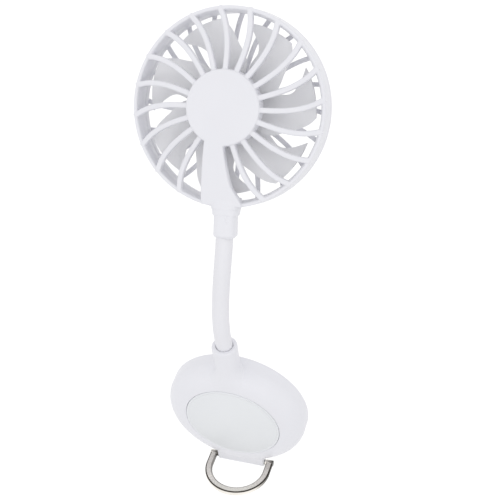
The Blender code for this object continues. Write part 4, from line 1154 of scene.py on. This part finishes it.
def far_ring_bmesh(seam):
    """The far edge's rim, its lip and the tongue that reaches into the near half."""
    outer = cage_radius - cage_wall - gap
    inner = outer - tongue_thickness
    low = seam - tongue_length
    edge = arc((front_edge_radius, front_round_depth), skin_radius - front_edge_radius,
               cage_depth - front_round_depth, 0, math.pi / 2, edge_steps)
    corners = [(skin_radius, seam, gap), (skin_radius, front_round_depth, 0)]
    corners += [(radius, depth, 0) for radius, depth in edge[1:]]
    corners += [(front_lip_radius, cage_depth, gap),
                (front_lip_radius, cage_depth - front_lip_thickness, gap),
                (inner, cage_depth - 2 * front_lip_thickness, gap),
                (inner, low, gap / 2), (outer, low, gap / 2), (outer, seam, 0)]
    return turned(rounded(corners, closed=True), closed=True)


def make_far_half():
    """The far cage half: rim, thin swirl bars and its own hub."""
    seam = parting + gap
    ring = far_ring_bmesh(seam)
    bars = bmesh.new()
    outline = bar_outline(bar_width, bar_height, bar_round)
    reach = (far_hub_radius - far_hub_wall / 2, (front_edge_radius + front_lip_radius) / 2)
    levels = (cage_depth + far_hub_rise / 2, cage_depth)
    for slot in range(slots):
        bar_bmesh(bars, bar_phase + math.tau * slot / slots, outline, reach, levels,
                  bar_sweep, bar_power, 0, 1)
    face = cage_depth + far_hub_rise
    back = cage_depth - far_hub_wall
    hub = rounded([(0, face, 0), (far_hub_radius, face, far_hub_rise),
                   (far_hub_radius, back, gap), (0, back, 0)])
    half = to_object("far_cage", gather("cage", ring, bars, turned(hub)))
    room = flange_half_width + gap
    notch = bmesh.new()
    low = seam - tongue_length - overrun
    loft(notch, [[(-room, y, -cage_radius), (room, y, -cage_radius), (room, y, -foot_top + overrun),
                  (-room, y, -foot_top + overrun)] for y in (low, seam - gap / 3)])
    cut(half, to_object("tool", notch))
    melt(half, grille_voxel)
    return put(in_head(half), "head", "white_plastic", "front_grille")


# Rotor
def blade_bmesh(bm, start):
    """A twisted, cambered blade with thinner edges."""
    root = rotor_hub_radius - rotor_hub_wall / 2
    sections = []
    for i in range(blade_rows + 1):
        reach = i / blade_rows
        width = read_table(reach, blade_radius_shares, blade_width_shares)
        span = (blade_root_span + (blade_tip_span - blade_root_span) * reach) * width
        lean = blade_lean * reach ** blade_lean_power
        mid = (blade_back + blade_front) / 2
        half_depth = (blade_front - blade_back) / 2 * (1 - blade_flatten_share * reach)
        ring = []
        for side in (-1, 1):
            for k in range(blade_columns + 1):
                c = k / blade_columns if side < 0 else 1 - k / blade_columns
                turn = start + lean + span * (c - 0.5)
                across = 2 * c - 1
                tip = blade_tip_low + (blade_tip_high - blade_tip_low) * c
                radius = root + (tip - root) * reach
                depth = mid - half_depth * across - blade_camber * (1 - across ** 2)
                taper = 1 - (1 - blade_edge_share) * across ** 2
                depth += side * blade_thickness / 2 * taper
                ring.append(Vector((radius * math.sin(turn), depth, radius * math.cos(turn))))
        sections.append(ring)
    loft(bm, sections)


def make_rotor():
    inner = rotor_hub_radius - rotor_hub_wall
    roof = rotor_front - rotor_hub_wall
    profile = rounded([(rotor_hub_radius, rotor_back, gap), (rotor_hub_radius, rotor_front, rotor_edge),
                       (rotor_bore, rotor_front, gap), (rotor_bore, rotor_boss_low, 0),
                       (rotor_boss_radius, rotor_boss_low, 0), (rotor_boss_radius, roof, 0),
                       (inner, roof, 0), (inner, rotor_back, 0)], closed=True)
    rotor = to_object("rotor_blades", turned(profile, closed=True), finishes["rotor"])
    blades_bm = bmesh.new()
    for i in range(blades):
        blade_bmesh(blades_bm, blade_phase + math.tau * i / blades)
    join(rotor, to_object("tool", blades_bm))
    rotor.data.shade_smooth()
    rotor.data.set_sharp_from_angle(angle=rotor_sharp)
    return put(in_head(rotor), "rotor", "white_plastic", "fan_rotor")


# Stage
def seen_directly(tree):
    """1 to the lens, in reflections and through glass; 0 for the light that falls on things."""
    path = add_node(tree, "ShaderNodeLightPath")
    seen = add_node(tree, "ShaderNodeMath", operation='MAXIMUM')
    tree.links.new(path.outputs["Is Camera Ray"], seen.inputs[0])
    tree.links.new(path.outputs["Is Glossy Ray"], seen.inputs[1])
    also = add_node(tree, "ShaderNodeMath", operation='MAXIMUM')
    tree.links.new(seen.outputs[0], also.inputs[0])
    tree.links.new(path.outputs["Is Transmission Ray"], also.inputs[1])
    return also.outputs[0]


def make_stage_material():
    """Pale floor: white to the lens and in reflections, and it keeps the object's shadow."""
    material = bpy.data.materials.new("pale_floor")
    material.use_nodes = True
    tree = material.node_tree
    shader = tree.nodes["Principled BSDF"]
    shader.inputs["Base Color"].default_value = floor_colour
    shader.inputs["Roughness"].default_value = floor_roughness
    shader.inputs["Specular IOR Level"].default_value = 0.0
    level = add_node(tree, "ShaderNodeMath", operation='MULTIPLY')
    level.inputs[1].default_value = floor_glow
    tree.links.new(seen_directly(tree), level.inputs[0])
    shader.inputs["Emission Color"].default_value = (1.0, 1.0, 1.0, 1.0)
    tree.links.new(level.outputs[0], shader.inputs["Emission Strength"])
    return material


def make_floor():
    bm = bmesh.new()
    z = cad_low.z - floor_drop
    corners = ((-1, -1), (1, -1), (1, 1), (-1, 1))
    bm.faces.new([bm.verts.new((x * floor_reach, y * floor_reach, z)) for x, y in corners])
    floor = to_object("studio_floor", bm, make_stage_material())


def make_world():
    """An even pale light from all round, plain white to the lens."""
    world = bpy.data.worlds.new("studio")
    world.use_nodes = True
    tree = world.node_tree
    sky = tree.nodes["Background"]
    sky.inputs["Color"].default_value = (1.0, 1.0, 1.0, 1.0)
    level = add_node(tree, "ShaderNodeMapRange")
    level.inputs["To Min"].default_value = world_level
    level.inputs["To Max"].default_value = 1.0
    tree.links.new(seen_directly(tree), level.inputs["Value"])
    tree.links.new(level.outputs["Result"], sky.inputs["Strength"])
    bpy.context.scene.world = world


def make_sun(name, strength, spread_angle, source):
    """A broad soft lamp that shines from a direction."""
    lamp = bpy.data.lights.new(name, 'SUN')
    lamp.energy = strength
    lamp.angle = spread_angle
    obj = bpy.data.objects.new(name, lamp)
    obj.rotation_euler = source.to_track_quat('Z', 'Y').to_euler()
    bpy.context.scene.collection.objects.link(obj)


def make_camera():
    data = bpy.data.cameras.new("camera")
    data.lens = camera_lens
    data.sensor_width = camera_sensor
    data.clip_start = camera_near
    data.clip_end = camera_far
    camera = bpy.data.objects.new("camera", data)
    bpy.context.scene.collection.objects.link(camera)
    columns = (camera_right, camera_up, camera_back, camera_place)
    camera.matrix_world = Matrix([[column[i] for column in columns] for i in range(3)] + [[0, 0, 0, 1]])
    bpy.context.scene.camera = camera


make_camera()
make_floor()
make_world()
make_sun("key", key_strength, key_spread, key_from)
make_sun("fill", fill_strength, fill_spread, fill_from)
bpy.context.scene.view_settings.view_transform = 'Standard'

dress_frame()
make_pad()
make_plate()
make_housing()
make_bail()
make_neck()
make_collar()
make_near_half()
make_far_half()
make_rotor()
